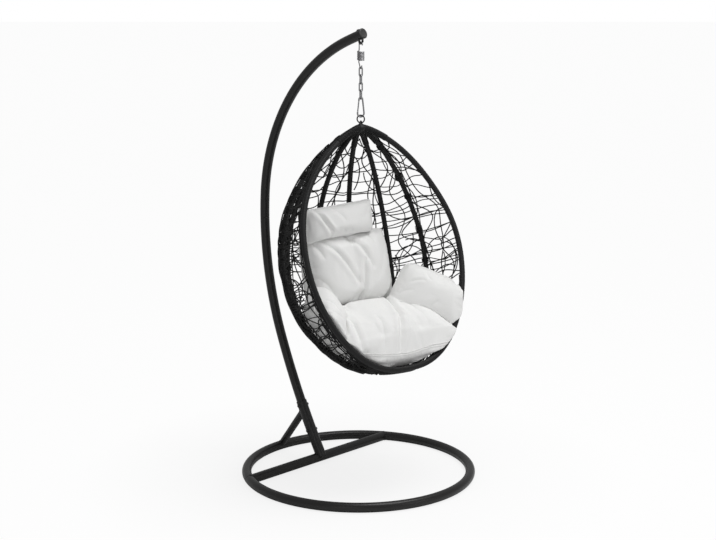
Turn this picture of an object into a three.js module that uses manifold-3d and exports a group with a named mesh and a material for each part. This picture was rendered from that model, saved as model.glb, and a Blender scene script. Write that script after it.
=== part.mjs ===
// Hanging pod chair: an open basket of wrapped tubes and random weave, hung by a spring, a short chain
// and a snap hook from a curved pole that stands on a round base.
// Millimetres, +Z up, the open side of the basket towards -Y. The origin is on the floor, under the
// middle of the whole chair.

import * as THREE from 'three';
import { mergeVertices } from 'three/addons/utils/BufferGeometryUtils.js';
import Module from 'manifold-3d';

const wasm = await Module();
wasm.setup();

// Clearances
const GAP = 0.3;
const OVERRUN = 20;
const WELD = 0.0001;
const SMALL_STEP = 0.002;
const FRONT_BULGE = 8;
const ARM_BULGE = 46;
const BOLT_CLEARANCE = 0.4;
const SOFT_CLEARANCE = 3;
const SPIGOT_CLEARANCE = 1.2;
const CHAIN_CLEARANCE = 0.6;
const WEAVE_CLEARANCE = 0.3;
const STRAND_CLEARANCE = 0.5;
const CENTRE_STRAND_CLEARANCE = 0.2;
const CUSHION_GAP = 0.5;

// Round base
const RING_RADIUS = 522;
const RING_TUBE = 42;
const RING_WALL = 2;
const RING_SPIGOT_LENGTH = 60;
const RING_SPIGOT_WALL = 2;
const BAR_SETBACK = 244;

// Post, strut and pole, drawn in the plane of symmetry
const POST_TUBE = 48;
const POST_WALL = 2.5;
const POST_LENGTH = 278;
const STRUT_TUBE = 30;
const STRUT_TOP_SHARE = 0.84;
const POLE_TUBE = 42;
const POLE_WALL = 2;
const POLE_SEAT = 90;
const POST_AHEAD_OF_BAR = 12.7;
const POLE_LEAN = THREE.MathUtils.degToRad(29.4);
const POLE_FOOT_STRAIGHT = 86;
const LOWER_BEND_RADIUS = 3470;
const MIDDLE_BEND_RADIUS = 1547;
const UPPER_BEND_RADIUS = 823;
const LOWER_BEND = THREE.MathUtils.degToRad(8.4);
const MIDDLE_BEND = THREE.MathUtils.degToRad(24.5);
const UPPER_BEND = THREE.MathUtils.degToRad(66.3);
const POLE_TIP_STRAIGHT = 82;
const POLE_JOINT_AT = 1150;
const POLE_SPIGOT_LENGTH = 90;
const CAP_LIP = 2;
const CAP_THICKNESS = 5;
const CAP_PLUG_LENGTH = 14;

// Fasteners
const BOLT_SIZE = 8;
const BOLT_HEAD_ACROSS = 14;
const BOLT_HEAD_HEIGHT = 5;
const NUT_HEIGHT = 7;
const BOLT_TAIL = 4;
const LOWER_BOLT_AT = 135;
const UPPER_BOLT_AT = 256;

// Hanging set, from the pole down
const LOOP_ROD = 8;
const LOOP_HALF_WIDTH = 10;
const LOOP_DROP = 38.8;
const LOOP_FROM_TIP = 12;
const SPRING_WIRE = 5;
const SPRING_RADIUS = 13.5;
const SPRING_TURNS = 7;
const SPRING_PITCH = 5.6;
const HOOK_RADIUS = 9;
const UPPER_LEG = 30;
const LOWER_LEG = 24.8;
const CHAIN_YAW = THREE.MathUtils.degToRad(-20);
const LINK_WIRE = 6;
const LINK_HALF_WIDTH = 7;
const LINK_LENGTH = 38.8;
const LINK_COUNT = 4;
const CLIP_WIRE = 7;
const CLIP_LENGTH = 90;
const CLIP_BIG_RADIUS = 15.5;
const CLIP_SMALL_RADIUS = 8.5;
const GATE_WIRE = 5.8;
const GATE_FROM_SHARE = 0.1;
const GATE_TO_SHARE = 0.86;
const GATE_GAP = 0.5;
const RING_YAW = THREE.MathUtils.degToRad(-65);
const EYE_RING_WIRE = 6;
const EYE_RING_RADIUS = 16.4;
const CROWN_EYE_WIRE = 7;
const CROWN_EYE_RADIUS = 12;
const CROWN_BELOW_EYE = 25;
const CROWN_BALL = 26;

// Basket: an egg whose rim is a flat hoop and whose ribs run from the apex round to the foot of the rim
const POD_YAW = THREE.MathUtils.degToRad(-9);
const POD_TILT = THREE.MathUtils.degToRad(19.6);
const POD_ASIDE = THREE.MathUtils.degToRad(0.8);
const POD_LENGTH = 1052;
const POD_HALF_WIDTH = 413;
const POD_DEPTH = 392;
const WIDTH_FORM = { top: 0.735, bottom: 0.4, lean: -0.55, arch: 0.03 };
const DEPTH_FORM = { top: 0.64, bottom: 0.377, lean: -0.05, arch: -0.36 };
const RIM_SETBACK = { depth: 18, at: 0.24, spread: 0.17 };
const SQUARENESS = 3;
const RIM_TUBE = 25;
const RIB_TUBE = 23;
const RIB_SIDE_SHARES = [0.228, 0.683, 0.937];
const CROWN_END_SHARE = 0.026;
const YOKE_START_SHARE = 0.996;

// Open weave between the tubes
const STRAND_WIDTH = 7;
const STRAND_THICKNESS = 4;
const WEAVE_BAND_SHARES = [0.06, 0.35, 0.66, 0.985];
const WEAVE_COLUMNS = 2;
const WEAVE_ROWS = 4;
const WEAVE_WANDER_SHARE = 0.2;
const WANDER_SHARES = { stride: 127.1, start: 311.7, spread: 43758.5453 };
const KNOT_REACH_SHARE = 0.45;
const INNER_STRAND_SHARE = 0.75;

// Cushions: places as shares of the basket's half width, length and depth, half sizes as shares of its
// half width, of the size each pad runs along and of its depth, then lean and turn
const SEAT = {
  placeShares: [0, 0.855, 0.42], halfShares: [0.87, 0.66, 0.3], along: POD_DEPTH,
  lean: THREE.MathUtils.degToRad(11), turn: 0, droop: 0, bulge: FRONT_BULGE,
  cornerShare: 0.16, crownShare: 0.9, undersideShare: 0.9, pullShare: 0.05,
  channelShares: [-0.33, 0.33], channelDepthShare: 0.09,
};
const BACK = {
  placeShares: [-0.029, 0.542, 0.73], halfShares: [0.62, 0.172, 0.17], along: POD_LENGTH,
  lean: THREE.MathUtils.degToRad(76), turn: 0, droop: 0, bulge: FRONT_BULGE,
  cornerShare: 0.1, crownShare: 1, undersideShare: 0.8, pullShare: 0.05,
  channelShares: [0], channelDepthShare: 0.18,
};
const HEADREST = {
  placeShares: [-0.125, 0.344, 0.553], halfShares: [0.48, 0.075, 0.12], along: POD_LENGTH,
  lean: THREE.MathUtils.degToRad(80), turn: 0, droop: 0, bulge: FRONT_BULGE,
  cornerShare: 0.06, crownShare: 1, undersideShare: 0.9, pullShare: 0.08,
  channelShares: [], channelDepthShare: 0,
};
const RIGHT_ARM = {
  placeShares: [0.73, 0.735, 0.265], halfShares: [0.5, 0.112, 0.2], along: POD_LENGTH,
  lean: THREE.MathUtils.degToRad(64), turn: THREE.MathUtils.degToRad(54),
  droop: THREE.MathUtils.degToRad(20), bulge: ARM_BULGE,
  cornerShare: 0.12, crownShare: 1, undersideShare: 0.8, pullShare: 0.08,
  channelShares: [], channelDepthShare: 0,
};
const LEFT_ARM = { ...RIGHT_ARM, placeShares: [0.76, 0.78, 0.27] };
const GROOVE_SHARE = 0.12;

// Facets
const TUBE_SIDES = 12;
const BORE_SIDES = 8;
const WIRE_SIDES = 6;
const RIB_SIDES = 8;
const RIM_SIDES = 10;
const RING_STEP = THREE.MathUtils.degToRad(9);
const POLE_STEP = 62;
const BEND_STEPS = 6;
const CURL_STEPS = 8;
const CURL_SIDES = 5;
const HOOK_STEP = THREE.MathUtils.degToRad(45);
const CUSHION_STEPS = 12;
const BISECT_STEPS = 30;

const finish = (color, roughness, metalness) =>
  new THREE.MeshStandardMaterial({ color, roughness, metalness });
const powderCoat = () => finish(0x2b2a29, 0.55, 0.3);
const zinc = () => finish(0xb9bcc0, 0.35, 0.9);
const blackSteel = () => finish(0x2e2e30, 0.4, 0.6);
const plastic = () => finish(0x262626, 0.6, 0);
const rattan = () => finish(0x1f1f20, 0.7, 0);
const cloth = () => finish(0xe4e3e0, 0.95, 0);

// Solids and booleans
function toSolid(geometry) {
  const bare = geometry.clone();
  bare.deleteAttribute('normal');
  bare.deleteAttribute('uv');
  const welded = mergeVertices(bare, WELD);
  return new wasm.Manifold(new wasm.Mesh({
    numProp: 3,
    vertProperties: new Float32Array(welded.attributes.position.array),
    triVerts: new Uint32Array(welded.index.array),
  }));
}

function toGeometry(solid) {
  const found = solid.getMesh();
  const geometry = new THREE.BufferGeometry();
  geometry.setAttribute('position', new THREE.BufferAttribute(new Float32Array(found.vertProperties), 3));
  geometry.setIndex(new THREE.BufferAttribute(new Uint32Array(found.triVerts), 1));
  geometry.computeVertexNormals();
  return geometry;
}

const cut = (geometry, ...tools) =>
  toGeometry(tools.reduce((solid, tool) => solid.subtract(toSolid(tool)), toSolid(geometry)));
const join = (...pieces) =>
  toGeometry(pieces.slice(1).reduce((solid, piece) => solid.add(toSolid(piece)), toSolid(pieces[0])));

function piece(name, geometry, material, parent) {
  const mesh = new THREE.Mesh(geometry, material);
  mesh.name = name;
  parent.add(mesh);
  return mesh;
}

// Paths
// A flat route of straight lengths and bends, walked from a start point like a bent tube
class Route extends THREE.Curve {
  constructor(start, ahead, aside, heading = 0) {
    super();
    Object.assign(this, { start, ahead, aside, heading, stretches: [], from: 0, to: 0 });
  }

  line(length) {
    return this.stretch({ length, turn: 0 });
  }

  bend(radius, turn) {
    return this.stretch({ length: radius * Math.abs(turn), turn });
  }

  stretch(added) {
    this.stretches.push(added);
    this.to = this.stretches.reduce((sum, each) => sum + each.length, 0);
    return this;
  }

  // The part of this route between two lengths, which may run past its ends
  part(from, to) {
    const copy = new Route(this.start, this.ahead, this.aside, this.heading);
    return Object.assign(copy, { stretches: this.stretches, from, to });
  }

  get whole() {
    return this.stretches.reduce((sum, each) => sum + each.length, 0);
  }

  at(distance) {
    let [x, y, angle, left] = [0, 0, this.heading, distance];
    for (const [index, { length, turn }] of this.stretches.entries()) {
      const first = index === 0 && left < 0;
      const last = index === this.stretches.length - 1;
      const run = first || last ? left : Math.min(left, length);
      const turned = (turn * run) / length;
      const chord = turned === 0 ? run : (2 * Math.sin(turned / 2) * run) / turned;
      x += chord * Math.cos(angle + turned / 2);
      y += chord * Math.sin(angle + turned / 2);
      angle += turned;
      left -= run;
      if (first || left <= 0) break;
    }
    const point = this.start.clone().addScaledVector(this.ahead, x).addScaledVector(this.aside, y);
    const way = new THREE.Vector3()
      .addScaledVector(this.ahead, Math.cos(angle))
      .addScaledVector(this.aside, Math.sin(angle));
    return { point, way };
  }

  getPoint(t, target = new THREE.Vector3()) {
    return target.copy(this.at(this.from + (this.to - this.from) * t).point);
  }
}

function roundSection(radius, sides) {
  const corners = [];
  for (let i = 0; i < sides; i += 1) {
    const angle = ((i + 0.5) / sides) * 2 * Math.PI;
    corners.push(new THREE.Vector2(radius * Math.cos(angle), radius * Math.sin(angle)));
  }
  return new THREE.Shape(corners);
}

function rod(path, radius, sides, steps) {
  const section = roundSection(radius, sides);
  return new THREE.ExtrudeGeometry(section, { steps, extrudePath: path, bevelEnabled: false });
}

// A tube with its bore, which starts and ends past the tube so that both ends stay open
function pipe(route, from, to, radius, wall, steps, boreSides = BORE_SIDES) {
  const outside = rod(route.part(from, to), radius, TUBE_SIDES, steps);
  const bore = rod(route.part(from - OVERRUN, to + OVERRUN), radius - wall, boreSides, steps);
  return cut(outside, bore);
}

const X = new THREE.Vector3(1, 0, 0);
const Y = new THREE.Vector3(0, 1, 0);
const Z = new THREE.Vector3(0, 0, 1);

const chair = new THREE.Group();

// Places that the whole stand shares
const ringTubeRadius = RING_TUBE / 2;
const ringCentreRadius = RING_RADIUS - ringTubeRadius;
const ringHeight = ringTubeRadius * Math.cos(Math.PI / TUBE_SIDES);

// The pole's line, from the middle of the cross bar to the tip of the arm
const poleLine = new Route(new THREE.Vector3(), Z, Y, POLE_LEAN).line(POLE_FOOT_STRAIGHT);
poleLine.bend(LOWER_BEND_RADIUS, -LOWER_BEND).bend(MIDDLE_BEND_RADIUS, -MIDDLE_BEND);
poleLine.bend(UPPER_BEND_RADIUS, -UPPER_BEND).line(POLE_TIP_STRAIGHT);
const poleLength = poleLine.whole;

let poleBulge = 0;
for (let distance = 0; distance < poleLength; distance += RING_TUBE) {
  poleBulge = Math.max(poleBulge, poleLine.at(distance).point.y);
}
const backReach = BAR_SETBACK - POST_AHEAD_OF_BAR + poleBulge + POLE_TUBE / 2;
const ringY = (RING_RADIUS - backReach) / 2;
const barY = ringY + BAR_SETBACK;
poleLine.start.set(0, barY - POST_AHEAD_OF_BAR, ringHeight);

// Round base: two arcs, one spigot at each end of the short one, and a bar across
const barAngle = Math.asin(BAR_SETBACK / ringCentreRadius);
const ringAt = (angle) =>
  new THREE.Vector3(Math.cos(angle), Math.sin(angle), 0).multiplyScalar(ringCentreRadius)
    .add(new THREE.Vector3(0, ringY, ringHeight));

function ringRoute(angle) {
  const way = new THREE.Vector3(-Math.sin(angle), Math.cos(angle), 0);
  const aside = new THREE.Vector3(-Math.cos(angle), -Math.sin(angle), 0);
  return new Route(ringAt(angle), way, aside).bend(ringCentreRadius, 2 * Math.PI);
}

const frontSweep = Math.PI + 2 * barAngle;
const rearSweep = Math.PI - 2 * barAngle;
const endGap = GAP / 2;
const frontRoute = ringRoute(Math.PI - barAngle);
const rearRoute = ringRoute(barAngle);
const frontLength = frontSweep * ringCentreRadius;
const rearLength = rearSweep * ringCentreRadius;
const ringSteps = (sweep) => Math.round(sweep / RING_STEP);

const frontArc = pipe(
  frontRoute, endGap, frontLength - endGap, ringTubeRadius, RING_WALL, ringSteps(frontSweep),
);
piece('base_ring_front', frontArc, powderCoat(), chair);

const spigotRadius = (ringTubeRadius - RING_WALL) * Math.cos(Math.PI / BORE_SIDES) - SPIGOT_CLEARANCE;
const rearSpan = [-RING_SPIGOT_LENGTH, rearLength + RING_SPIGOT_LENGTH];
const spigots = rod(rearRoute.part(...rearSpan), spigotRadius, TUBE_SIDES, ringSteps(rearSweep));
const rearPath = rearRoute.part(endGap, rearLength - endGap);
const rearTube = rod(rearPath, ringTubeRadius, TUBE_SIDES, ringSteps(rearSweep));
const rearBore = rod(
  rearRoute.part(rearSpan[0] - OVERRUN, rearSpan[1] + OVERRUN),
  spigotRadius - RING_SPIGOT_WALL, BORE_SIDES, ringSteps(rearSweep),
);
piece('base_ring_rear', cut(join(rearTube, spigots), rearBore), powderCoat(), chair);

const cope = (route, from, to, steps) => rod(route.part(from, to), ringTubeRadius + GAP, TUBE_SIDES, steps);
const rearCope = cope(rearRoute, endGap, rearLength - endGap, ringSteps(rearSweep));
const ringCopes = [
  cope(frontRoute, endGap, frontLength - endGap, ringSteps(frontSweep)),
  rearCope,
  cope(rearRoute, -OVERRUN, OVERRUN, 2),
  cope(rearRoute, rearLength - OVERRUN, rearLength + OVERRUN, 2),
];

const barHalf = ringCentreRadius * Math.cos(barAngle);
const barRoute = new Route(new THREE.Vector3(-barHalf, barY, ringHeight), X, Y).line(2 * barHalf);
const bar = pipe(barRoute, 0, 2 * barHalf, ringTubeRadius, RING_WALL, 1);
piece('cross_bar', cut(bar, ...ringCopes), powderCoat(), chair);

// Post on the bar, and the strut that braces it from the back of the ring
const boltPlaces = [LOWER_BOLT_AT, UPPER_BOLT_AT];
const boltHole = BOLT_SIZE / 2 + BOLT_CLEARANCE;
const boltDrills = boltPlaces.map((distance) => {
  const drill = new THREE.CylinderGeometry(boltHole, boltHole, 2 * POST_TUBE, WIRE_SIDES);
  const { point } = poleLine.at(distance);
  return drill.rotateZ(Math.PI / 2).translate(point.x, point.y, point.z);
});
const barCope = rod(barRoute.part(-OVERRUN, 2 * barHalf + OVERRUN), ringTubeRadius + GAP, TUBE_SIDES, 1);
const postSteps = Math.ceil(POST_LENGTH / POLE_STEP);
const post = pipe(poleLine, 0, POST_LENGTH, POST_TUBE / 2, POST_WALL, postSteps, TUBE_SIDES);
piece('lower_post', cut(post, barCope, ...boltDrills), powderCoat(), chair);

const strutFoot = ringAt(Math.PI / 2);
const strutHead = poleLine.at(POST_LENGTH * STRUT_TOP_SHARE).point;
const strutWay = strutHead.clone().sub(strutFoot);
const strutLength = strutWay.length();
strutWay.normalize();
const strutRoute = new Route(strutFoot, strutWay, X).line(strutLength);
const strut = pipe(strutRoute, 0, strutLength, STRUT_TUBE / 2, RING_WALL, 1);
const postCope = rod(poleLine.part(0, POST_LENGTH), POST_TUBE / 2 + GAP, TUBE_SIDES, postSteps);
piece('rear_strut', cut(strut, rearCope, postCope), powderCoat(), chair);

// Curved pole in two lengths, the lower one swaged to enter the upper one
const poleRadius = POLE_TUBE / 2;
const poleSteps = (length) => Math.ceil(length / POLE_STEP);
const lowerSpan = [POLE_SEAT, POLE_JOINT_AT - endGap];
const lowerSteps = poleSteps(lowerSpan[1] - lowerSpan[0]);
const lowerTube = rod(poleLine.part(...lowerSpan), poleRadius, TUBE_SIDES, lowerSteps);
const poleSpigotRadius = (poleRadius - POLE_WALL) * Math.cos(Math.PI / BORE_SIDES) - SPIGOT_CLEARANCE;
const swage = rod(
  poleLine.part(POLE_JOINT_AT - POLE_SPIGOT_LENGTH, POLE_JOINT_AT + POLE_SPIGOT_LENGTH),
  poleSpigotRadius, TUBE_SIDES, poleSteps(2 * POLE_SPIGOT_LENGTH),
);
const lowerBore = rod(
  poleLine.part(POLE_SEAT - OVERRUN, POLE_JOINT_AT + POLE_SPIGOT_LENGTH + OVERRUN),
  poleSpigotRadius - POLE_WALL, BORE_SIDES, poleSteps(POLE_JOINT_AT),
);
piece('lower_pole', cut(join(lowerTube, swage), lowerBore, ...boltDrills), powderCoat(), chair);

const upperLength = poleLength - POLE_JOINT_AT;
const upperSteps = poleSteps(upperLength);
const upper = pipe(poleLine, POLE_JOINT_AT + endGap, poleLength, poleRadius, POLE_WALL, upperSteps);
piece('upper_pole', upper, powderCoat(), chair);

// Cap on the tip, a lipped disc with a plug
const tip = poleLine.at(poleLength);
const plugRadius = (poleRadius - POLE_WALL) * Math.cos(Math.PI / BORE_SIDES) - GAP;
const cap = new THREE.LatheGeometry([
  [0, -CAP_PLUG_LENGTH], [plugRadius, -CAP_PLUG_LENGTH], [plugRadius, GAP], [poleRadius + CAP_LIP, GAP],
  [poleRadius + CAP_LIP, CAP_THICKNESS - CAP_LIP], [poleRadius, CAP_THICKNESS], [0, CAP_THICKNESS],
].map(([r, z]) => new THREE.Vector2(r, z)), TUBE_SIDES);
cap.rotateX(Math.PI / 2);
const capMesh = piece('pole_cap', cap, plastic(), chair);
capMesh.position.copy(tip.point);
capMesh.quaternion.setFromUnitVectors(Z, tip.way);

// Cross bolts through post and pole, each with its nut
const boltSpan = POST_TUBE / 2 + GAP;
boltPlaces.forEach((distance, index) => {
  const { point } = poleLine.at(distance);
  const head = new THREE.CylinderGeometry(BOLT_HEAD_ACROSS / 2, BOLT_HEAD_ACROSS / 2, BOLT_HEAD_HEIGHT, 6);
  head.translate(0, boltSpan + BOLT_HEAD_HEIGHT / 2, 0);
  const shankLength = 2 * boltSpan + NUT_HEIGHT + BOLT_TAIL;
  const shank = new THREE.CylinderGeometry(BOLT_SIZE / 2, BOLT_SIZE / 2, shankLength, WIRE_SIDES);
  shank.translate(0, boltSpan - shankLength / 2, 0);
  const shankAndHead = join(head, shank).rotateZ(Math.PI / 2);
  const bolt = piece(`post_bolt_${index + 1}`, shankAndHead, zinc(), chair);
  bolt.position.copy(point);
  const blank = new THREE.CylinderGeometry(BOLT_HEAD_ACROSS / 2, BOLT_HEAD_ACROSS / 2, NUT_HEIGHT, 6);
  const thread = new THREE.CylinderGeometry(boltHole, boltHole, 2 * NUT_HEIGHT, WIRE_SIDES);
  const nutShape = cut(blank, thread).rotateZ(Math.PI / 2).translate(boltSpan + NUT_HEIGHT / 2, 0, 0);
  piece(`post_nut_${index + 1}`, nutShape, zinc(), chair).position.copy(point);
});

// Hanging set, stacked from the arm down. Each height is the centre of a wire
const hang = poleLine.at(poleLength - LOOP_FROM_TIP).point;
const hangY = hang.y;
const loopBottom = hang.z - LOOP_DROP;
const hookTop = loopBottom + (LOOP_ROD + SPRING_WIRE) / 2 + CHAIN_CLEARANCE;
const coilTop = hookTop - HOOK_RADIUS - UPPER_LEG;
const coilBottom = coilTop - SPRING_TURNS * SPRING_PITCH;
const hookBottom = coilBottom - LOWER_LEG - HOOK_RADIUS;
const linkTops = [hookBottom + (SPRING_WIRE + LINK_WIRE) / 2 + CHAIN_CLEARANCE];
const linkPitch = LINK_LENGTH - LINK_WIRE - CHAIN_CLEARANCE;
for (let i = 1; i < LINK_COUNT; i += 1) linkTops.push(linkTops[i - 1] - linkPitch);
const clipTop = linkTops[LINK_COUNT - 1] - LINK_LENGTH + (LINK_WIRE + CLIP_WIRE) / 2 + CHAIN_CLEARANCE;
const clipBottom = clipTop - (CLIP_LENGTH - CLIP_WIRE);
const eyeRingTop = clipBottom + (CLIP_WIRE + EYE_RING_WIRE) / 2 + CHAIN_CLEARANCE;
const eyeRingBottom = eyeRingTop - 2 * EYE_RING_RADIUS;
const crownEyeTop = eyeRingBottom + (EYE_RING_WIRE + CROWN_EYE_WIRE) / 2 + CHAIN_CLEARANCE;
const apexZ = crownEyeTop - CROWN_BELOW_EYE;
const hangPoint = (z) => new THREE.Vector3(0, hangY, z);
const yawed = (yaw) => new THREE.Vector3(Math.cos(yaw), Math.sin(yaw), 0);

// Loop under the arm: a bent rod whose two legs are welded to the tube
const loopRoute = new Route(new THREE.Vector3(-LOOP_HALF_WIDTH, hangY, hang.z), Z.clone().negate(), X)
  .line(LOOP_DROP - LOOP_HALF_WIDTH)
  .bend(LOOP_HALF_WIDTH, Math.PI)
  .line(LOOP_DROP - LOOP_HALF_WIDTH);
const loop = rod(loopRoute, LOOP_ROD / 2, WIRE_SIDES, CUSHION_STEPS);
const armCope = rod(
  poleLine.part(POLE_JOINT_AT + endGap, poleLength), poleRadius + GAP, TUBE_SIDES, poleSteps(upperLength),
);
piece('hanger_loop', cut(loop, armCope), blackSteel(), chair);

// A tube through a list of points: capped at both ends, or joined into a loop that lies flat
function sweep(points, radius, sides, loopNormal = null) {
  const positions = [];
  const faces = [];
  const count = points.length;
  const looped = loopNormal !== null;
  let side = loopNormal?.clone() ?? null;
  points.forEach((point, index) => {
    const before = points[looped ? (index + count - 1) % count : Math.max(index - 1, 0)];
    const after = points[looped ? (index + 1) % count : Math.min(index + 1, count - 1)];
    const way = after.clone().sub(before).normalize();
    side = side ?? new THREE.Vector3(1, 0, 0).cross(way).normalize();
    side.addScaledVector(way, -side.dot(way)).normalize();
    const normal = new THREE.Vector3().crossVectors(way, side);
    for (let i = 0; i < sides; i += 1) {
      const angle = ((i + 0.5) / sides) * 2 * Math.PI;
      const corner = point.clone()
        .addScaledVector(side, radius * Math.cos(angle))
        .addScaledVector(normal, radius * Math.sin(angle));
      positions.push(corner.x, corner.y, corner.z);
    }
    if (index === 0 && !looped) return;
    const base = ((index + count - 1) % count) * sides;
    const next = index * sides;
    for (let i = 0; i < sides; i += 1) {
      const j = (i + 1) % sides;
      faces.push(base + i, base + j, next + j, base + i, next + j, next + i);
    }
  });
  if (!looped) {
    const last = (count - 1) * sides;
    for (let i = 1; i < sides - 1; i += 1) {
      faces.push(0, i + 1, i, last, last + i, last + i + 1);
    }
  }
  return indexed(positions, faces);
}

function indexed(positions, faces) {
  const geometry = new THREE.BufferGeometry();
  geometry.setAttribute('position', new THREE.Float32BufferAttribute(positions, 3));
  geometry.setIndex(faces);
  geometry.computeVertexNormals();
  return geometry;
}

// Spring: a close-wound extension spring with a hook at each end, one unbroken wire
function springPoints() {
  const points = [];
  const hook = (centre, yaw, up) => {
    const across = yawed(yaw + Math.PI / 2);
    const made = [];
    const put = (a, z) => made.push(centre.clone().addScaledVector(across, a).addScaledVector(Z, up * z));
    put(-HOOK_RADIUS, -SPRING_WIRE);
    for (let angle = Math.PI; angle > -HOOK_STEP / 2; angle -= HOOK_STEP) {
      put(HOOK_RADIUS * Math.cos(angle), HOOK_RADIUS * Math.sin(angle));
    }
    return made;
  };
  points.push(...hook(hangPoint(hookTop - HOOK_RADIUS), 0, 1));
  const steps = SPRING_TURNS * CURL_STEPS;
  const sweepAngle = SPRING_TURNS * 2 * Math.PI + CHAIN_YAW;
  for (let i = 0; i <= steps; i += 1) {
    const share = i / steps;
    const out = yawed(Math.PI / 2 + share * sweepAngle);
    points.push(hangPoint(coilTop - share * (coilTop - coilBottom)).addScaledVector(out, SPRING_RADIUS));
  }
  points.push(...hook(hangPoint(hookBottom + HOOK_RADIUS), CHAIN_YAW, -1).reverse());
  return points;
}

function leastGap(points, wire) {
  let least = Infinity;
  const apart = CURL_STEPS - 2;
  points.forEach((a, i) => {
    for (let j = i + apart; j < points.length; j += 1) {
      const next = points[Math.min(j + 1, points.length - 1)];
      const near = new THREE.Line3(points[j], next).closestPointToPoint(a, true, new THREE.Vector3());
      least = Math.min(least, near.distanceTo(a) - wire);
    }
  });
  return least;
}

const springLine = springPoints();
console.log(`spring: least gap to itself ${leastGap(springLine, SPRING_WIRE).toFixed(2)} mm`);
piece('suspension_spring', sweep(springLine, SPRING_WIRE / 2, CURL_SIDES), zinc(), chair);

// Chain links, each turned a quarter turn from the one above
function linkGeometry() {
  const straight = LINK_LENGTH - 2 * LINK_HALF_WIDTH;
  const points = [];
  for (const end of [1, -1]) {
    for (let i = 0; i <= BEND_STEPS; i += 1) {
      const angle = (i / BEND_STEPS) * Math.PI;
      const [x, z] = [Math.cos(angle) * LINK_HALF_WIDTH, Math.sin(angle) * LINK_HALF_WIDTH + straight / 2];
      points.push(new THREE.Vector3(end * x, 0, end * z));
    }
  }
  return sweep(points, LINK_WIRE / 2, WIRE_SIDES, Y);
}

linkTops.forEach((top, index) => {
  const link = piece(`chain_link_${index + 1}`, linkGeometry(), zinc(), chair);
  link.position.copy(hangPoint(top - LINK_LENGTH / 2));
  link.rotation.z = CHAIN_YAW + (index % 2) * (Math.PI / 2);
});

// Snap hook: a pear-shaped body, open on one side, and the gate that closes it
const clip = new THREE.Group();
clip.position.copy(hangPoint(clipBottom + CLIP_BIG_RADIUS));
clip.rotation.z = CHAIN_YAW;
chair.add(clip);
const clipCentres = CLIP_LENGTH - CLIP_WIRE - CLIP_BIG_RADIUS - CLIP_SMALL_RADIUS;
const clipSlope = Math.asin((CLIP_BIG_RADIUS - CLIP_SMALL_RADIUS) / clipCentres);
const clipSide = clipCentres * Math.cos(clipSlope);
const gateSpan = (GATE_TO_SHARE - GATE_FROM_SHARE) * clipSide;
const clipAcross = new THREE.Vector3(Math.cos(clipSlope), 0, -Math.sin(clipSlope));
const clipCorner = clipAcross.clone().multiplyScalar(-CLIP_BIG_RADIUS);
const clipUp = new THREE.Vector3(Math.sin(clipSlope), 0, Math.cos(clipSlope));
const gateFoot = clipCorner.clone().addScaledVector(clipUp, GATE_FROM_SHARE * clipSide);
const clipRoute = new Route(gateFoot, clipUp.clone().negate(), clipAcross)
  .line(GATE_FROM_SHARE * clipSide)
  .bend(CLIP_BIG_RADIUS, Math.PI + 2 * clipSlope)
  .line(clipSide)
  .bend(CLIP_SMALL_RADIUS, Math.PI - 2 * clipSlope)
  .line((1 - GATE_TO_SHARE) * clipSide);
const clipBody = rod(clipRoute, CLIP_WIRE / 2, WIRE_SIDES, 3 * CURL_STEPS);
piece('snap_hook', clipBody, zinc(), clip);

const gateRadius = GATE_WIRE / 2;
const gateTop = gateSpan - GATE_GAP;
const gateProfile = [];
for (let i = 0; i <= 3; i += 1) {
  const angle = (i / 3) * (Math.PI / 2);
  const height = gateRadius * (1 - Math.cos(angle)) + GATE_GAP;
  gateProfile.push(new THREE.Vector2(gateRadius * Math.sin(angle), height));
}
gateProfile.push(new THREE.Vector2(gateRadius, gateTop), new THREE.Vector2(0, gateTop));
const gate = piece('snap_gate', new THREE.LatheGeometry(gateProfile, WIRE_SIDES), zinc(), clip);
gate.position.copy(gateFoot);
gate.quaternion.setFromUnitVectors(Y, clipUp);

// Ring between the snap hook and the basket
const eyeRing = new THREE.TorusGeometry(EYE_RING_RADIUS, EYE_RING_WIRE / 2, WIRE_SIDES, 3 * CURL_STEPS);
eyeRing.rotateX(Math.PI / 2);
const eyeRingMesh = piece('apex_ring', eyeRing, blackSteel(), chair);
eyeRingMesh.position.copy(hangPoint(eyeRingTop - EYE_RING_RADIUS));
eyeRingMesh.rotation.z = RING_YAW;

// Basket, in its own frame: x across, y to the back, z up, the apex of the tube lines at z = apexZ
const pod = new THREE.Group();
pod.position.set(0, hangY, 0);
pod.rotation.z = POD_YAW;
chair.add(pod);

const swellRaw = (u, { top, bottom, lean, arch }) =>
  u ** top * (1 - u) ** bottom * (1 + lean * (u - 0.5) + arch * (u - 0.5) ** 2);
function swellPeak(form) {
  let peak = 0;
  for (let u = 0; u <= 1; u += WELD) peak = Math.max(peak, swellRaw(u, form));
  return peak;
}
const widthPeak = swellPeak(WIDTH_FORM);
const depthPeak = swellPeak(DEPTH_FORM);
const halfWidthAt = (u) => (POD_HALF_WIDTH * swellRaw(u, WIDTH_FORM)) / widthPeak;
const depthAt = (u) => (POD_DEPTH * swellRaw(u, DEPTH_FORM)) / depthPeak;
const downRim = new THREE.Vector3(0, -Math.sin(POD_TILT), -Math.cos(POD_TILT))
  .multiplyScalar(Math.cos(POD_ASIDE)).setX(-Math.sin(POD_ASIDE));
const intoBack = new THREE.Vector3(0, Math.cos(POD_TILT), -Math.sin(POD_TILT));
const apex = new THREE.Vector3(0, 0, apexZ);
// The rim bends back a little below the apex, and the tubes next to it follow
const setbackAt = (u, side) =>
  RIM_SETBACK.depth * Math.exp(-(((u - RIM_SETBACK.at) / RIM_SETBACK.spread) ** 2)) * side ** 4;
const backShare = (side) => (1 - Math.abs(side) ** SQUARENESS) ** (1 / SQUARENESS);

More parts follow.
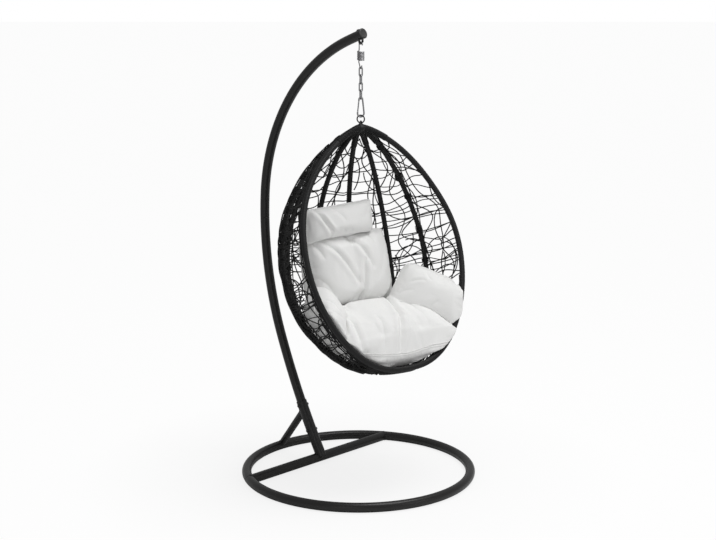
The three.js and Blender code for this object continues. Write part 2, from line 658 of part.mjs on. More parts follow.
// A point of the basket's surface: u runs down the rim's chord, side and back are shares of its section
function basketPoint(u, side, back) {
  const point = apex.clone().addScaledVector(downRim, u * POD_LENGTH);
  point.addScaledVector(X, side * halfWidthAt(u));
  return point.addScaledVector(intoBack, back * depthAt(u) + setbackAt(u, side));
}

// How far out of the middle a point is, as a share: below 1 it is inside the tubes by the given margins
function basketShare(point, sideMargin, backMargin, frontBulge) {
  const local = point.clone().sub(apex);
  const down = local.dot(downRim) / POD_LENGTH;
  const u = 0.5 + (down - 0.5) / (1 - (2 * sideMargin) / POD_LENGTH);
  const deep = local.dot(intoBack);
  if (u <= 0 || u >= 1 || deep < -frontBulge) return 2;
  const aside = local.x - down * POD_LENGTH * downRim.x;
  const across = Math.abs(aside) / (halfWidthAt(u) * (1 - sideMargin / POD_HALF_WIDTH));
  const back = Math.max(deep, 0) / (depthAt(u) * (1 - backMargin / POD_DEPTH));
  return (across ** SQUARENESS + back ** SQUARENESS) ** (1 / SQUARENESS);
}

// u eased so that the steps are close at both ends, where the tubes turn most
const eased = (t) => (1 - Math.cos(Math.PI * t)) / 2;
const easedBack = (u) => Math.acos(1 - 2 * u) / Math.PI;

const weaveStations = [];
for (let band = 0; band < WEAVE_BAND_SHARES.length - 1; band += 1) {
  const [top, bottom] = [easedBack(WEAVE_BAND_SHARES[band]), easedBack(WEAVE_BAND_SHARES[band + 1])];
  for (let row = band === 0 ? 0 : 1; row <= WEAVE_ROWS; row += 1) {
    weaveStations.push(eased(top + ((bottom - top) * row) / WEAVE_ROWS));
  }
}

function stationsBetween(from, to) {
  const between = (a, b, count) => Array.from({ length: count }, (_, i) =>
    eased(easedBack(a) + ((easedBack(b) - easedBack(a)) * i) / count));
  const [first, last] = [weaveStations[0], weaveStations[weaveStations.length - 1]];
  if (to <= first) return [...between(from, to, 2), to];
  if (from >= last) return [...between(from, to, 2), to];
  return [...between(from, first, 2), ...weaveStations.slice(0, -1), ...between(last, to, 2), to];
}

// A line on the basket's surface through points that the weave shares
class SurfaceLine extends THREE.Curve {
  constructor(points) {
    super();
    this.points = points;
  }

  getUtoTmapping(u) {
    return u;
  }

  getPoint(t, target = new THREE.Vector3()) {
    const steps = this.points.length - 1;
    const index = Math.min(Math.floor(t * steps + WELD), steps - 1);
    return target.lerpVectors(this.points[index], this.points[index + 1], t * steps - index);
  }

  get steps() {
    return this.points.length - 1;
  }
}

const meridian = (side, from, to) =>
  new SurfaceLine(stationsBetween(from, to).map((u) => basketPoint(u, side, backShare(side))));

// The rim from one side of the crown, round the foot, to the other side
function rimLine(from) {
  const half = (side) => stationsBetween(from, 1).map((u) => basketPoint(u, side, 0));
  return new SurfaceLine([...half(-1), ...half(1).reverse().slice(1)]);
}

const surfaceRod = (line, radius, sides) => rod(line, radius, sides, line.steps);

const ribSides = [...RIB_SIDE_SHARES].reverse().map((share) => -share).concat(RIB_SIDE_SHARES);
const stubGap = endGap / POD_LENGTH;

// Crown: the tube ends welded together under the eye
const stubs = [-1, ...ribSides, 1].map((side) => {
  const radius = Math.abs(side) === 1 ? RIM_TUBE / 2 : RIB_TUBE / 2;
  return surfaceRod(meridian(side, 0, CROWN_END_SHARE), radius, RIB_SIDES);
});
const crownEye = new THREE.TorusGeometry(CROWN_EYE_RADIUS, CROWN_EYE_WIRE / 2, WIRE_SIDES, 2 * CURL_STEPS);
crownEye.rotateX(Math.PI / 2).rotateZ(RING_YAW - POD_YAW + Math.PI / 2);
crownEye.translate(0, 0, crownEyeTop - CROWN_EYE_RADIUS);
const crownBall = new THREE.SphereGeometry(CROWN_BALL / 2, 2 * WIRE_SIDES, WIRE_SIDES).rotateX(Math.PI / 2);
crownBall.translate(0, 0, apexZ);

// Rim and ribs
const tubeStart = CROWN_END_SHARE + 2 * stubGap;
const startWith = (extra) => tubeStart - extra / POD_LENGTH;
const rimWith = (extra) => surfaceRod(rimLine(startWith(extra)), RIM_TUBE / 2 + extra, RIM_SIDES);
const ribWith = (side, extra) =>
  surfaceRod(meridian(side, startWith(extra), YOKE_START_SHARE - stubGap), RIB_TUBE / 2 + extra, RIB_SIDES);
piece('front_rim', rimWith(0), rattan(), pod);
const ribNames = ['left_outer', 'left_middle', 'left_inner', 'right_inner', 'right_middle', 'right_outer'];
ribSides.forEach((side, index) => {
  piece(`${ribNames[index]}_rib`, ribWith(side, 0), rattan(), pod);
});

const tubes = [rimWith(GAP), ...ribSides.map((side) => ribWith(side, GAP))];
piece('crown', cut(join(crownBall, ...stubs, crownEye), ...tubes), rattan(), pod);

// Yoke: the ribs' lower ends welded together behind the foot of the rim
const yokeWith = (extra) => join(...ribSides.map((side) =>
  surfaceRod(meridian(side, YOKE_START_SHARE, 1), RIB_TUBE / 2 + extra, RIB_SIDES)));
piece('foot_yoke', cut(yokeWith(0), rimWith(GAP)), rattan(), pod);

// Weave: each panel is one open net of strands between two tubes
const wander = (seed) => {
  const { stride, start, spread } = WANDER_SHARES;
  const value = Math.sin(seed * stride + start) * spread;
  return value - Math.floor(value) - 0.5;
};
const gores = [-1, ...ribSides, 1];
const sectionAt = (side) => new THREE.Vector2(side, backShare(side));

// A point between two tubes: a share of the straight way across, taken out to the basket's surface
function betweenTubes(u, left, right, share) {
  const mixed = sectionAt(left).lerp(sectionAt(right), share);
  const reach = (Math.abs(mixed.x) ** SQUARENESS + Math.abs(mixed.y) ** SQUARENESS) ** (1 / SQUARENESS);
  return basketPoint(u, mixed.x / reach, mixed.y / reach);
}

// The share at which a point leaves a tube by the wanted distance
function leaveTube(u, left, right, fromRight) {
  const side = fromRight ? right : left;
  const clearance = left === -right ? CENTRE_STRAND_CLEARANCE : STRAND_CLEARANCE;
  const wanted = (Math.abs(side) === 1 ? RIM_TUBE : RIB_TUBE) / 2 + clearance;
  const index = weaveStations.findIndex((station) => Math.abs(station - u) < WELD);
  const near = [Math.max(index - 1, 0), index, Math.min(index + 1, weaveStations.length - 1)]
    .map((i) => basketPoint(weaveStations[i], side, backShare(side)));
  let [low, high] = [0, 1 / 2];
  for (let step = 0; step < BISECT_STEPS; step += 1) {
    const middle = (low + high) / 2;
    const point = betweenTubes(u, left, right, fromRight ? 1 - middle : middle);
    const away = Math.min(...[0, 1].map((i) => {
      const segment = new THREE.Line3(near[i], near[i + 1]);
      return segment.closestPointToPoint(point, true, new THREE.Vector3()).distanceTo(point);
    }));
    if (away < wanted) low = middle;
    else high = middle;
  }
  return fromRight ? 1 - high : high;
}

function weavePanel(gore, band) {
  const [left, right] = [gores[gore], gores[gore + 1]];
  const [rows, columns] = [WEAVE_ROWS, WEAVE_COLUMNS];
  const rowShares = weaveStations.slice(band * rows, band * rows + rows + 1);
  const edges = rowShares.map((u) => [leaveTube(u, left, right, false), leaveTube(u, left, right, true)]);
  const trim = WEAVE_CLEARANCE / POD_LENGTH;
  const [start, stop] = [rowShares[0] + (band > 0 ? trim : 0), rowShares[rows] - trim];
  // A place on the panel, as a share down the rim and a share between the tubes
  const place = (t, v) => {
    const row = Math.min(Math.floor(t + WELD), rows - 1);
    const share = t - row;
    const between = THREE.MathUtils.lerp(rowShares[row], rowShares[row + 1], share);
    const u = THREE.MathUtils.clamp(between, start, stop);
    const from = THREE.MathUtils.lerp(edges[row][0], edges[row + 1][0], share);
    const to = THREE.MathUtils.lerp(edges[row][1], edges[row + 1][1], share);
    return [u, from + (to - from) * v];
  };
  const point = (t, v) => {
    const [u, share] = place(t, v);
    return betweenTubes(u, left, right, share);
  };
  const knot = (row, column) => {
    const seed = (gore * weaveStations.length + band * rows + row) * (columns + 1) + column;
    const inner = (value, count) => value > 0 && value < count;
    const dv = inner(column, columns) ? (wander(seed) * 2 * WEAVE_WANDER_SHARE) / columns : 0;
    const free = inner(row, rows) && inner(column, columns);
    const dt = free ? wander(seed + 1 / 2) * 2 * WEAVE_WANDER_SHARE : 0;
    return [row + dt, column / columns + dv];
  };
  const positions = [];
  const faces = [];
  // Adds a point of the mid surface as an outer and an inner corner, and returns the outer one's index
  const put = (t, v) => {
    const here = point(t, v);
    const [u, share] = place(t, v);
    const along = betweenTubes(u + SMALL_STEP, left, right, share)
      .sub(betweenTubes(u - SMALL_STEP, left, right, share));
    const across = betweenTubes(u, left, right, share + SMALL_STEP)
      .sub(betweenTubes(u, left, right, share - SMALL_STEP));
    const out = along.cross(across).normalize();
    for (const side of [0.5, -0.5]) {
      const corner = here.clone().addScaledVector(out, side * STRAND_THICKNESS);
      positions.push(corner.x, corner.y, corner.z);
    }
    return positions.length / 3 - 2;
  };
  const quad = (a, b, c, d) => faces.push(a, b, c, a, c, d);
  const knots = [];
  for (let row = 0; row <= rows; row += 1) {
    for (let column = 0; column <= columns; column += 1) knots.push(put(...knot(row, column)));
  }
  const at = (row, column) => row * (columns + 1) + column;
  for (let row = 0; row < rows; row += 1) {
    for (let column = 0; column < columns; column += 1) {
      const corners = [[row, column], [row, column + 1], [row + 1, column + 1], [row + 1, column]];
      const outer = corners.map(([r, c]) => knots[at(r, c)]);
      const uv = corners.map(([r, c]) => knot(r, c));
      const middle = [0, 1].map((k) => uv.reduce((sum, each) => sum + each[k], 0) / 4);
      const centre = point(...middle);
      const inner = uv.map(([u, v], index) => {
        const reach = point(u, v).distanceTo(centre);
        const atEdge = corners[index][1] === 0 || corners[index][1] === columns;
        const wide = STRAND_WIDTH * (atEdge ? 1 : INNER_STRAND_SHARE);
        const share = Math.min(wide / reach, KNOT_REACH_SHARE);
        return put(u + (middle[0] - u) * share, v + (middle[1] - v) * share);
      });
      for (let k = 0; k < 4; k += 1) {
        const n = (k + 1) % 4;
        quad(outer[k], inner[k], inner[n], outer[n]);
        quad(outer[k] + 1, outer[n] + 1, inner[n] + 1, inner[k] + 1);
        quad(inner[k], inner[k] + 1, inner[n] + 1, inner[n]);
      }
    }
  }
  const edge = (a, b) => quad(a, b, b + 1, a + 1);
  for (let column = 0; column < columns; column += 1) {
    edge(knots[at(0, column)], knots[at(0, column + 1)]);
    edge(knots[at(rows, column + 1)], knots[at(rows, column)]);
  }
  for (let row = 0; row < rows; row += 1) {
    edge(knots[at(row, columns)], knots[at(row + 1, columns)]);
    edge(knots[at(row + 1, 0)], knots[at(row, 0)]);
  }
  return indexed(positions, faces);
}

const goreNames = [
  'left_side', 'left_rear', 'left_back', 'centre_back', 'right_back', 'right_rear', 'right_side',
];
const bandNames = ['upper', 'middle', 'lower'];
goreNames.forEach((goreName, gore) => {
  bandNames.forEach((bandName, band) => {
    piece(`weave_${goreName}_${bandName}`, weavePanel(gore, band), rattan(), pod);
  });
});

// Cushions: crowned pads whose sides pull in between the corners, pressed to the basket's inside
function cushionGeometry(pad, mirror = 1, grow = 0) {
  const [across, down, back] = pad.placeShares;
  const heart = apex.clone().addScaledVector(downRim, down * POD_LENGTH)
    .addScaledVector(intoBack, back * POD_DEPTH)
    .addScaledVector(X, mirror * across * POD_HALF_WIDTH);
  const spans = [POD_HALF_WIDTH, pad.along, POD_DEPTH];
  const half = pad.halfShares.map((share, index) => share * spans[index] + grow);
  const channelDepth = pad.channelDepthShare * half[2];
  const pose = new THREE.Matrix4()
    .makeTranslation(heart.x, heart.y, heart.z)
    .multiply(new THREE.Matrix4().makeRotationZ(-mirror * pad.turn))
    .multiply(new THREE.Matrix4().makeRotationY(mirror * pad.droop))
    .multiply(new THREE.Matrix4().makeRotationX(pad.lean));
  const side = RIM_TUBE / 2 + SOFT_CLEARANCE - grow;
  const behind = STRAND_THICKNESS + SOFT_CLEARANCE - grow;
  const shareAt = (point) => basketShare(point, side, behind, pad.bulge + grow);
  const steps = CUSHION_STEPS;
  const place = (i, j, face) => {
    const [a, b] = [-1 + (2 * i) / steps, -1 + (2 * j) / steps];
    const round = (value, other) => value * (1 - pad.pullShare * (1 - other * other));
    const full = Math.sqrt((1 - a ** 4) * (1 - b ** 4));
    const grooveAt = (at) => Math.exp(-(((a - at) / GROOVE_SHARE) ** 2));
    const groove = pad.channelShares.reduce((sum, at) => sum + grooveAt(at), 0);
    const share = face > 0 ? pad.crownShare : pad.undersideShare;
    const sunk = face > 0 ? groove * channelDepth : 0;
    const z = face * full * (half[2] * share - sunk);
    const inset = 1 - pad.cornerShare * (a * b) ** 2;
    const point = new THREE.Vector3(round(a, b) * half[0] * inset, round(b, a) * half[1] * inset, z);
    point.applyMatrix4(pose);
    if (shareAt(point) <= 1) return point;
    let [inside, outside] = [0, 1];
    for (let step = 0; step < BISECT_STEPS; step += 1) {
      const middle = (inside + outside) / 2;
      if (shareAt(heart.clone().lerp(point, middle)) <= 1) inside = middle;
      else outside = middle;
    }
    return heart.clone().lerp(point, inside);
  };
  const positions = [];
  const faces = [];
  const index = new Map();
  const vertex = (i, j, face) => {
    const rim = i === 0 || j === 0 || i === steps || j === steps;
    const key = `${i},${j},${rim ? 0 : face}`;
    if (!index.has(key)) {
      const point = place(i, j, face);
      positions.push(point.x, point.y, point.z);
      index.set(key, positions.length / 3 - 1);
    }
    return index.get(key);
  };
  for (let i = 0; i < steps; i += 1) {
    for (let j = 0; j < steps; j += 1) {
      const top = [[i, j], [i + 1, j], [i + 1, j + 1], [i, j + 1]].map(([p, q]) => vertex(p, q, 1));
      const under = [[i, j], [i, j + 1], [i + 1, j + 1], [i + 1, j]].map(([p, q]) => vertex(p, q, -1));
      faces.push(top[0], top[1], top[2], top[0], top[2], top[3]);
      faces.push(under[0], under[1], under[2], under[0], under[2], under[3]);
    }
  }
  return indexed(positions, faces);
}

const grown = (pad, mirror = 1) => cushionGeometry(pad, mirror, CUSHION_GAP);
tubes.push(yokeWith(GAP));
const seatPad = cut(cushionGeometry(SEAT), ...tubes);
const rightArm = cut(cushionGeometry(RIGHT_ARM), grown(SEAT), ...tubes);
const leftArm = cut(cushionGeometry(LEFT_ARM, -1), grown(SEAT), ...tubes);
const backPad = cut(cushionGeometry(BACK), grown(SEAT), grown(RIGHT_ARM), grown(LEFT_ARM, -1), ...tubes);
const headPad = cut(cushionGeometry(HEADREST), grown(BACK), ...tubes);
piece('seat_cushion', seatPad, cloth(), pod);
piece('back_cushion', backPad, cloth(), pod);
piece('headrest_pillow', headPad, cloth(), pod);
piece('right_arm_cushion', rightArm, cloth(), pod);
piece('left_arm_cushion', leftArm, cloth(), pod);

export default chair;
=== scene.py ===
"""Looks of the hanging pod chair, made around its packed frame.

A ring base with a curved pole, a spring, a short chain and a snap hook, and an open basket of wrapped
tubes and random weave with five loose cushions. Metres, +Z up, the open side of the basket towards -Y.
"""

import math
import random

import bmesh
import bpy
import numpy as np
from bpy.props import FloatVectorProperty, PointerProperty
from mathutils import Euler, Matrix, Vector
from mathutils.bvhtree import BVHTree


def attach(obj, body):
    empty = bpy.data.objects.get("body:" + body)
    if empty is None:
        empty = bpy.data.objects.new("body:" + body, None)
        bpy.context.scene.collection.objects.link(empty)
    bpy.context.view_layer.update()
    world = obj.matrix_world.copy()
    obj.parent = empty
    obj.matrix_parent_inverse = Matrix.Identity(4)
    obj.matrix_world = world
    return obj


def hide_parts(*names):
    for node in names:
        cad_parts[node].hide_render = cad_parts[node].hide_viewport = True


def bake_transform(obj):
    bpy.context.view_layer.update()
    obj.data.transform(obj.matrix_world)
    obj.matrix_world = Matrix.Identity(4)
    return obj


bl_info = {
    "name": "Hanging pod chair",
    "version": (1, 0, 0),
    "blender": (4, 5, 0),
    "location": "View3D > Sidebar > Pod Chair",
    "description": "Builds the tubes, weave, hanging set and cushions of a hanging pod chair",
    "category": "Object",
}

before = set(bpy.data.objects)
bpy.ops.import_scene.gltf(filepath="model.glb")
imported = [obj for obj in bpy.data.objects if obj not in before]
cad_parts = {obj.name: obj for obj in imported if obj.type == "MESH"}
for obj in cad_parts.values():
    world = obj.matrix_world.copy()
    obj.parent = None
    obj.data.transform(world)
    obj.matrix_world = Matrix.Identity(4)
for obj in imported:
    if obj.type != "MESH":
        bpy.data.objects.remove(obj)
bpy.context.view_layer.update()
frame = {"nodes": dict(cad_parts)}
NODES = frame["nodes"]

# Stand, in metres
RING_RADIUS = 0.522
RING_TUBE = 0.021
RING_CENTRE_RADIUS = RING_RADIUS - RING_TUBE
RING_HEIGHT = RING_TUBE * math.cos(math.pi / 12)
BAR_SETBACK = 0.244
POST_AHEAD = 0.0127
POST_RADIUS = 0.024
POST_LENGTH = 0.278
POST_WALL = 0.0025
MOUTH_DEPTH = 0.03
# The strut is drawn 1.3 mm thicker in radius than its solid, nearer to the photo
STRUT_RADIUS = 0.0163
STRUT_TOP = 0.84
POLE_RADIUS = 0.021
POLE_SEAT = 0.09
POLE_JOINT = 1.15
POLE_LEAN = math.radians(29.4)
# Bends of the pole: radius in metres and turn in degrees
POLE_BENDS = ((3.47, 8.4), (1.547, 24.5), (0.823, 66.3))
POLE_STRETCHES = [
    (0.086, 0.0),
    *((radius * math.radians(turn), -math.radians(turn)) for radius, turn in POLE_BENDS),
    (0.082, 0.0),
]
BOLT_PLACES = (0.135, 0.256)
HANG_BACK = 0.012
JOINT_GAP = 0.0003
ROD_DOME = 0.009
WELD_GAP = 0.0002
WELD_SCALE = 0.0035
WELD_BEAD, LOOP_WELD = 0.0024, 0.0016
COPE_SIDES, COPE_ROWS = 48, 12

# The cap from its skirt to its middle: past the pole's end, and past the pole's radius
CAP_OUTLINE = (
    (-0.012, -0.003), (0.0003, -0.003), (0.0003, 0.0013), (0.0008, 0.0019), (0.0028, 0.0019),
    (0.0038, 0.0013), (0.0046, -0.0002), (0.005, -0.0025), (0.0049, -0.0065), (0.0044, -0.0075),
)

# Hanging set, from the pole down
LOOP_ROD = 0.004
LOOP_HALF = 0.01
LOOP_DROP = 0.0388
SPRING_WIRE = 0.0025
SPRING_RADIUS = 0.0135
SPRING_TURNS = 7
SPRING_PITCH = 0.0056
HOOK_RADIUS = 0.009
UPPER_LEG = 0.03
LOWER_LEG = 0.0248
CHAIN_SLACK = 0.0006
CHAIN_YAW = math.radians(-20)
LINK_WIRE = 0.003
LINK_HALF = 0.007
LINK_LENGTH = 0.0388
CLIP_WIRE = 0.0035
CLIP_LENGTH = 0.09
CLIP_BIG = 0.0155
CLIP_SMALL = 0.0085
GATE_WIRE = 0.0029
GATE_SHARES = (0.1, 0.86)
RIVET_HEAD = 0.0009
EYE_RING_WIRE = 0.003
# How much thinner the eye ring's wire is drawn than its solid, so that the snap hook clears it
EYE_RING_EASE = 0.00015
EYE_RING_RADIUS = 0.0164
EYE_RING_YAW = math.radians(-65)
CROWN_EYE_WIRE = 0.0035
CROWN_EYE_RADIUS = 0.012
CROWN_BELOW_EYE = 0.025
CROWN_KNOT = 0.0208
CROWN_STRAND, CROWN_PITCH = 0.0017, 0.0034
YOKE_STRAND, YOKE_PITCH = 0.0027, 0.0062

# Basket
POD_YAW = math.radians(-9)
POD_TILT = math.radians(19.6)
POD_ASIDE = math.radians(0.8)
POD_LENGTH = 1.052
POD_HALF_WIDTH = 0.413
POD_DEPTH = 0.392
WIDTH_FORM = (0.735, 0.4, -0.55, 0.03)
DEPTH_FORM = (0.64, 0.377, -0.05, -0.36)
RIM_SETBACK = (0.018, 0.24, 0.17)
SQUARENESS = 3
RIM_RADIUS = 0.0125
RIB_RADIUS = 0.0115
RIB_SIDES = (-0.937, -0.683, -0.228, 0.228, 0.683, 0.937)
RIB_NAMES = ("left_outer", "left_middle", "left_inner", "right_inner", "right_middle", "right_outer")
GORE_NAMES = ("left_side", "left_rear", "left_back", "centre_back", "right_back", "right_rear", "right_side")
BAND_NAMES = ("upper", "middle", "lower")

# Open weave
STRAND = 0.0028
WEAVE_SEED = 41
WEAVE_EDGE = math.pi / 2 - 0.03
COURSES, RUNNERS, ARCS = 42, 20, 110
RIB_LASHINGS = (22, 9, 0, 0, 0, 8)
FLATTENED = 0.85

BLACK_STEEL = (0.03, 0.03, 0.032)
WORN_STEEL = (0.16, 0.155, 0.15, 1)


def mesh_of(name, verts, faces, smooth_angle=40):
    """A new mesh with smooth faces and sharp edges where it turns more than the angle."""
    mesh = bpy.data.meshes.new(name)
    mesh.from_pydata([tuple(v) for v in verts], [], faces)
    mesh.validate()
    mesh.update()
    mesh.shade_smooth()
    if smooth_angle:
        mesh.set_sharp_from_angle(angle=math.radians(smooth_angle))
    return mesh


def edited(mesh, change):
    """The mesh, changed by a function of its bmesh."""
    work = bmesh.new()
    work.from_mesh(mesh)
    change(work)
    work.to_mesh(mesh)
    work.free()
    return mesh


def add_object(name, mesh, finish=None):
    """Links an object that sits at the origin, with its place in its mesh."""
    made = bpy.data.objects.new(name, mesh)
    bpy.context.scene.collection.objects.link(made)
    if finish is not None:
        mesh.materials.clear()
        mesh.materials.append(finish)
    return made


def settle(piece, body, slot, *nodes):
    """Says which body the piece rides on, its slot, and the nodes that it stands for."""
    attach(piece, body)
    if nodes:
        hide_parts(*nodes)
    return piece


# Shader and geometry trees
def operation(name, swapped=False):
    """A method of Socket that adds a Math node."""

    def method(self, other=None):
        values = [other, self] if swapped else [self, other]
        found = {i: v for i, v in enumerate(values) if v is not None}
        return self.tree.node("ShaderNodeMath", found, operation=name)

    return method


class Socket:
    """An output socket whose sums and products add Math nodes."""

    def __init__(self, tree, socket):
        self.tree = tree
        self.socket = socket

    __add__ = __radd__ = operation("ADD")
    __mul__ = __rmul__ = operation("MULTIPLY")
    __sub__, __rsub__ = operation("SUBTRACT"), operation("SUBTRACT", swapped=True)
    __truediv__ = operation("DIVIDE")
    sine, cosine, floor = operation("SINE"), operation("COSINE"), operation("FLOOR")

    def clamped(self):
        return self.tree.node("ShaderNodeClamp", {0: self})


class Tree:
    """Adds nodes to a shader or geometry tree."""

    def __init__(self, tree):
        self.tree = tree

    def node(self, kind, values=None, output=0, **settings):
        """A node of this type: settings first, then the values or links of its sockets."""
        made = self.tree.nodes.new(kind)
        for key, value in settings.items():
            setattr(made, key, value)
        self.fill(made, values or {})
        return made if output is None else Socket(self, made.outputs[output])

    def fill(self, made, values):
        """Sets a node's inputs, or links them where the value is a socket or a list of sockets."""
        for key, value in values.items():
            for each in value if isinstance(value, list) else [value]:
                if isinstance(each, Socket):
                    self.tree.links.new(each.socket, made.inputs[key])
                else:
                    made.inputs[key].default_value = each

    def geometry(self, kind, values=None, output=0, **settings):
        return self.node(f"GeometryNode{kind}", values, output, **settings)

    def vector(self, name, *values, **named):
        return self.node("ShaderNodeVectorMath", {**dict(enumerate(values)), **named}, operation=name)

    def xyz(self, x, y, z):
        return self.node("ShaderNodeCombineXYZ", {0: x, 1: y, 2: z})


class Finish(Tree):
    """The tree of a material with one Principled shader, whose textures are placed on the object."""

    def __init__(self, name, preview):
        self.material = bpy.data.materials.new(name)
        self.material.use_nodes = True
        self.material.diffuse_color = (*preview, 1)
        super().__init__(self.material.node_tree)
        self.shader = self.tree.nodes["Principled BSDF"]
        self.place = self.mapped((1, 1, 1))

    def mapped(self, scale):
        place = self.node("ShaderNodeTexCoord", output=3)
        return self.node("ShaderNodeMapping", {"Vector": place, "Scale": scale})

    def noise(self, scale, detail=3, roughness=0.5, place=None):
        values = {"Vector": place or self.place, "Scale": scale, "Detail": detail, "Roughness": roughness}
        return self.node("ShaderNodeTexNoise", values)

    def mix(self, share, first, second):
        made = self.node("ShaderNodeMix", {0: share, 6: first, 7: second}, None, data_type="RGBA")
        return Socket(self, made.outputs[2])

    def tones(self, share, colour, dark, light):
        """A colour that runs from one multiple of itself to another."""
        ends = [(*[min(c * factor, 1) for c in colour], 1) for factor in (dark, light)]
        return self.mix(share, *ends)

    def bump(self, height, strength, distance, **under):
        return self.node("ShaderNodeBump", {"Height": height, "Strength": strength, "Distance": distance, **under})


# Finishes: each function says what its shader's inputs are given
def powder_coat(tree, colour):
    """Fine-textured matt paint baked on steel tube."""
    cloud, grain, peel = (tree.noise(scale, 2) for scale in (3.0, 850.0, 240.0))
    return {
        "Base Color": tree.tones(cloud, colour, 0.86, 1.16),
        "Roughness": 0.27 + 0.12 * grain + 0.06 * cloud,
        "Normal": tree.bump(grain * 0.6 + peel * 0.9, 0.22, 0.0004),
        "Specular IOR Level": 0.4,
    }


def moulded_plastic(tree, colour):
    """Moulded plastic of the tube cap, with a fine spark-eroded grain."""
    grain, cloud = tree.noise(1400.0), tree.noise(40.0, 2)
    return {
        "Base Color": tree.tones(cloud, colour, 0.85, 1.2),
        "Roughness": 0.46 + 0.2 * grain,
        "Normal": tree.bump(grain, 0.25, 0.0002),
    }


def zinc_plate(tree, colour):
    """Bright zinc plate: small spangles, darker where the wires rub."""
    spangle = tree.node("ShaderNodeTexVoronoi", {"Vector": tree.place, "Scale": 700.0}, feature="F1")
    cloud = tree.noise(120.0)
    streak = tree.noise(900.0, 2, place=tree.mapped((1, 1, 0.15)))
    return {
        "Base Color": tree.tones((cloud * 1.4 - 0.2).clamped(), colour, 0.72, 1.12),
        "Roughness": 0.24 + 0.16 * streak + 0.08 * spangle,
        "Normal": tree.bump(streak * 0.6 + spangle * 0.4, 0.12, 0.0002),
        "Metallic": 1.0,
    }


def black_steel(tree, colour):
    """Black plated steel, worn a little to the bare metal on its high spots."""
    wear = (tree.noise(260.0, 4) * 5.0 - 3.1).clamped()
    cloud = tree.noise(90.0, 2)
    return {
        "Base Color": tree.mix(wear * 0.5, tree.tones(cloud, colour, 0.8, 1.2), WORN_STEEL),
        "Roughness": 0.34 + 0.18 * cloud,
        "Metallic": 0.5 + 0.4 * wear,
        "Normal": tree.bump(tree.noise(1200.0, 2), 0.15, 0.0002),
    }


def cane(tree, colour, rough=0.5):
    """Resin cane: fine grooves drawn along the strand, each turn a slightly different tone."""
    names = ("turn", "along", "across")
    turn, along, across = (tree.node("ShaderNodeAttribute", output=2, attribute_name=name) for name in names)
    tone = tree.node("ShaderNodeTexWhiteNoise", {"W": turn}, noise_dimensions="1D")
    fibre = tree.noise(1.0, 2, place=tree.xyz(along * 9.0, across * 1100.0, tone * 50.0))
    share = (0.30 * tone + 0.45 * fibre + 0.35 * tree.noise(14.0, 2)).clamped()
    return {
        "Base Color": tree.tones(share, colour, 0.55, 1.5),
        "Roughness": rough - 0.08 + 0.2 * fibre + 0.08 * tone,
        "Normal": tree.bump(fibre, 0.5, 0.0003),
        "Specular IOR Level": 0.3,
    }


def matt_cane(tree, colour):
    """The same cane with a duller skin, as on the weave."""
    return cane(tree, colour, 0.55)


def canvas(tree, colour):
    """Spun polyester canvas: a plain weave with uneven threads, soft fuzz and faint creasing."""
    parts = tree.node("ShaderNodeSeparateXYZ", {0: tree.place}, None)
    x, y, z = (Socket(tree, parts.outputs[i]) for i in range(3))
    waver = tree.noise(30.0, 2) * 0.0016
    warp = ((x + 0.6 * y + waver) * 3600.0).sine()
    weft = ((z - 0.35 * y + waver) * 3600.0).sine()
    weave = warp * 0.5 + weft * 0.5
    slub, slub_across = (tree.noise(60.0, place=tree.mapped(scale)) for scale in ((1, 1, 9), (9, 5, 1)))
    fuzz, crease, soil = tree.noise(900.0, 4), tree.noise(16.0, 4, 0.55), tree.noise(5.0)
    share = (0.25 * fuzz + 0.3 * slub + 0.25 * slub_across + 0.12 * weave + 0.2 * soil).clamped()
    threads = weave * 0.5 + 0.6 * slub + 0.6 * slub_across + 0.5 * fuzz
    return {
        "Base Color": tree.tones(share, colour, 0.95, 1.05),
        "Roughness": 0.82 + 0.12 * fuzz,
        "Normal": tree.bump(threads, 0.35, 0.0005, Normal=tree.bump(crease, 0.25, 0.004)),
        "Sheen Weight": 0.15,
        "Sheen Roughness": 0.5,
        "Specular IOR Level": 0.25,
    }


# Each finish with its function and its colour: a field of the add-on's colours, or a fixed one
FINISHES = {
    "powder_coat": (powder_coat, "frame"),
    "cap_plastic": (moulded_plastic, "cap"),
    "zinc_steel": (zinc_plate, "zinc"),
    "black_steel": (black_steel, BLACK_STEEL),
    "wrapped_cane": (cane, "cane"),
    "weave_strand": (matt_cane, "strand"),
    "cushion_cloth": (canvas, "cloth"),
}
MATERIALS = {}


def material(name):
    """The named finish, made when it is first asked for."""
    if name not in MATERIALS:
        make, colour = FINISHES[name]
        if isinstance(colour, str):
            colour = tuple(getattr(bpy.context.scene.pod_chair_colours, colour))
        tree = Finish(name, colour)
        tree.fill(tree.shader, make(tree, colour))
        MATERIALS[name] = tree.material
    return MATERIALS[name]


# Geometry trees
def geometry_tree(name, defaults):
    """An empty geometry tree with named inputs, as (tree, its inputs as sockets)."""
    group = bpy.data.node_groups.new(name, "GeometryNodeTree")
    add = group.interface.new_socket
    add("Geometry", in_out="INPUT", socket_type="NodeSocketGeometry")
    for label, value in defaults.items():
        kind = "NodeSocketInt" if isinstance(value, int) else "NodeSocketFloat"
        add(label, in_out="INPUT", socket_type=kind).default_value = value
    add("Material", in_out="INPUT", socket_type="NodeSocketMaterial")
    add("Geometry", in_out="OUTPUT", socket_type="NodeSocketGeometry")
    tree = Tree(group)
    source = group.nodes.new("NodeGroupInput")
    return tree, {s.name: Socket(tree, s) for s in source.outputs if s.name}


def close_tree(tree, geometry, given):
    """Ends a tree: real meshes, smooth, with their material. Returns its group."""
    real = tree.geometry("RealizeInstances", {0: geometry})
    smooth = tree.geometry("SetShadeSmooth", {0: real})
    done = tree.geometry("SetMaterial", {0: smooth, "Material": given["Material"]})
    tree.fill(tree.tree.nodes.new("NodeGroupOutput"), {0: done})
    return tree.tree


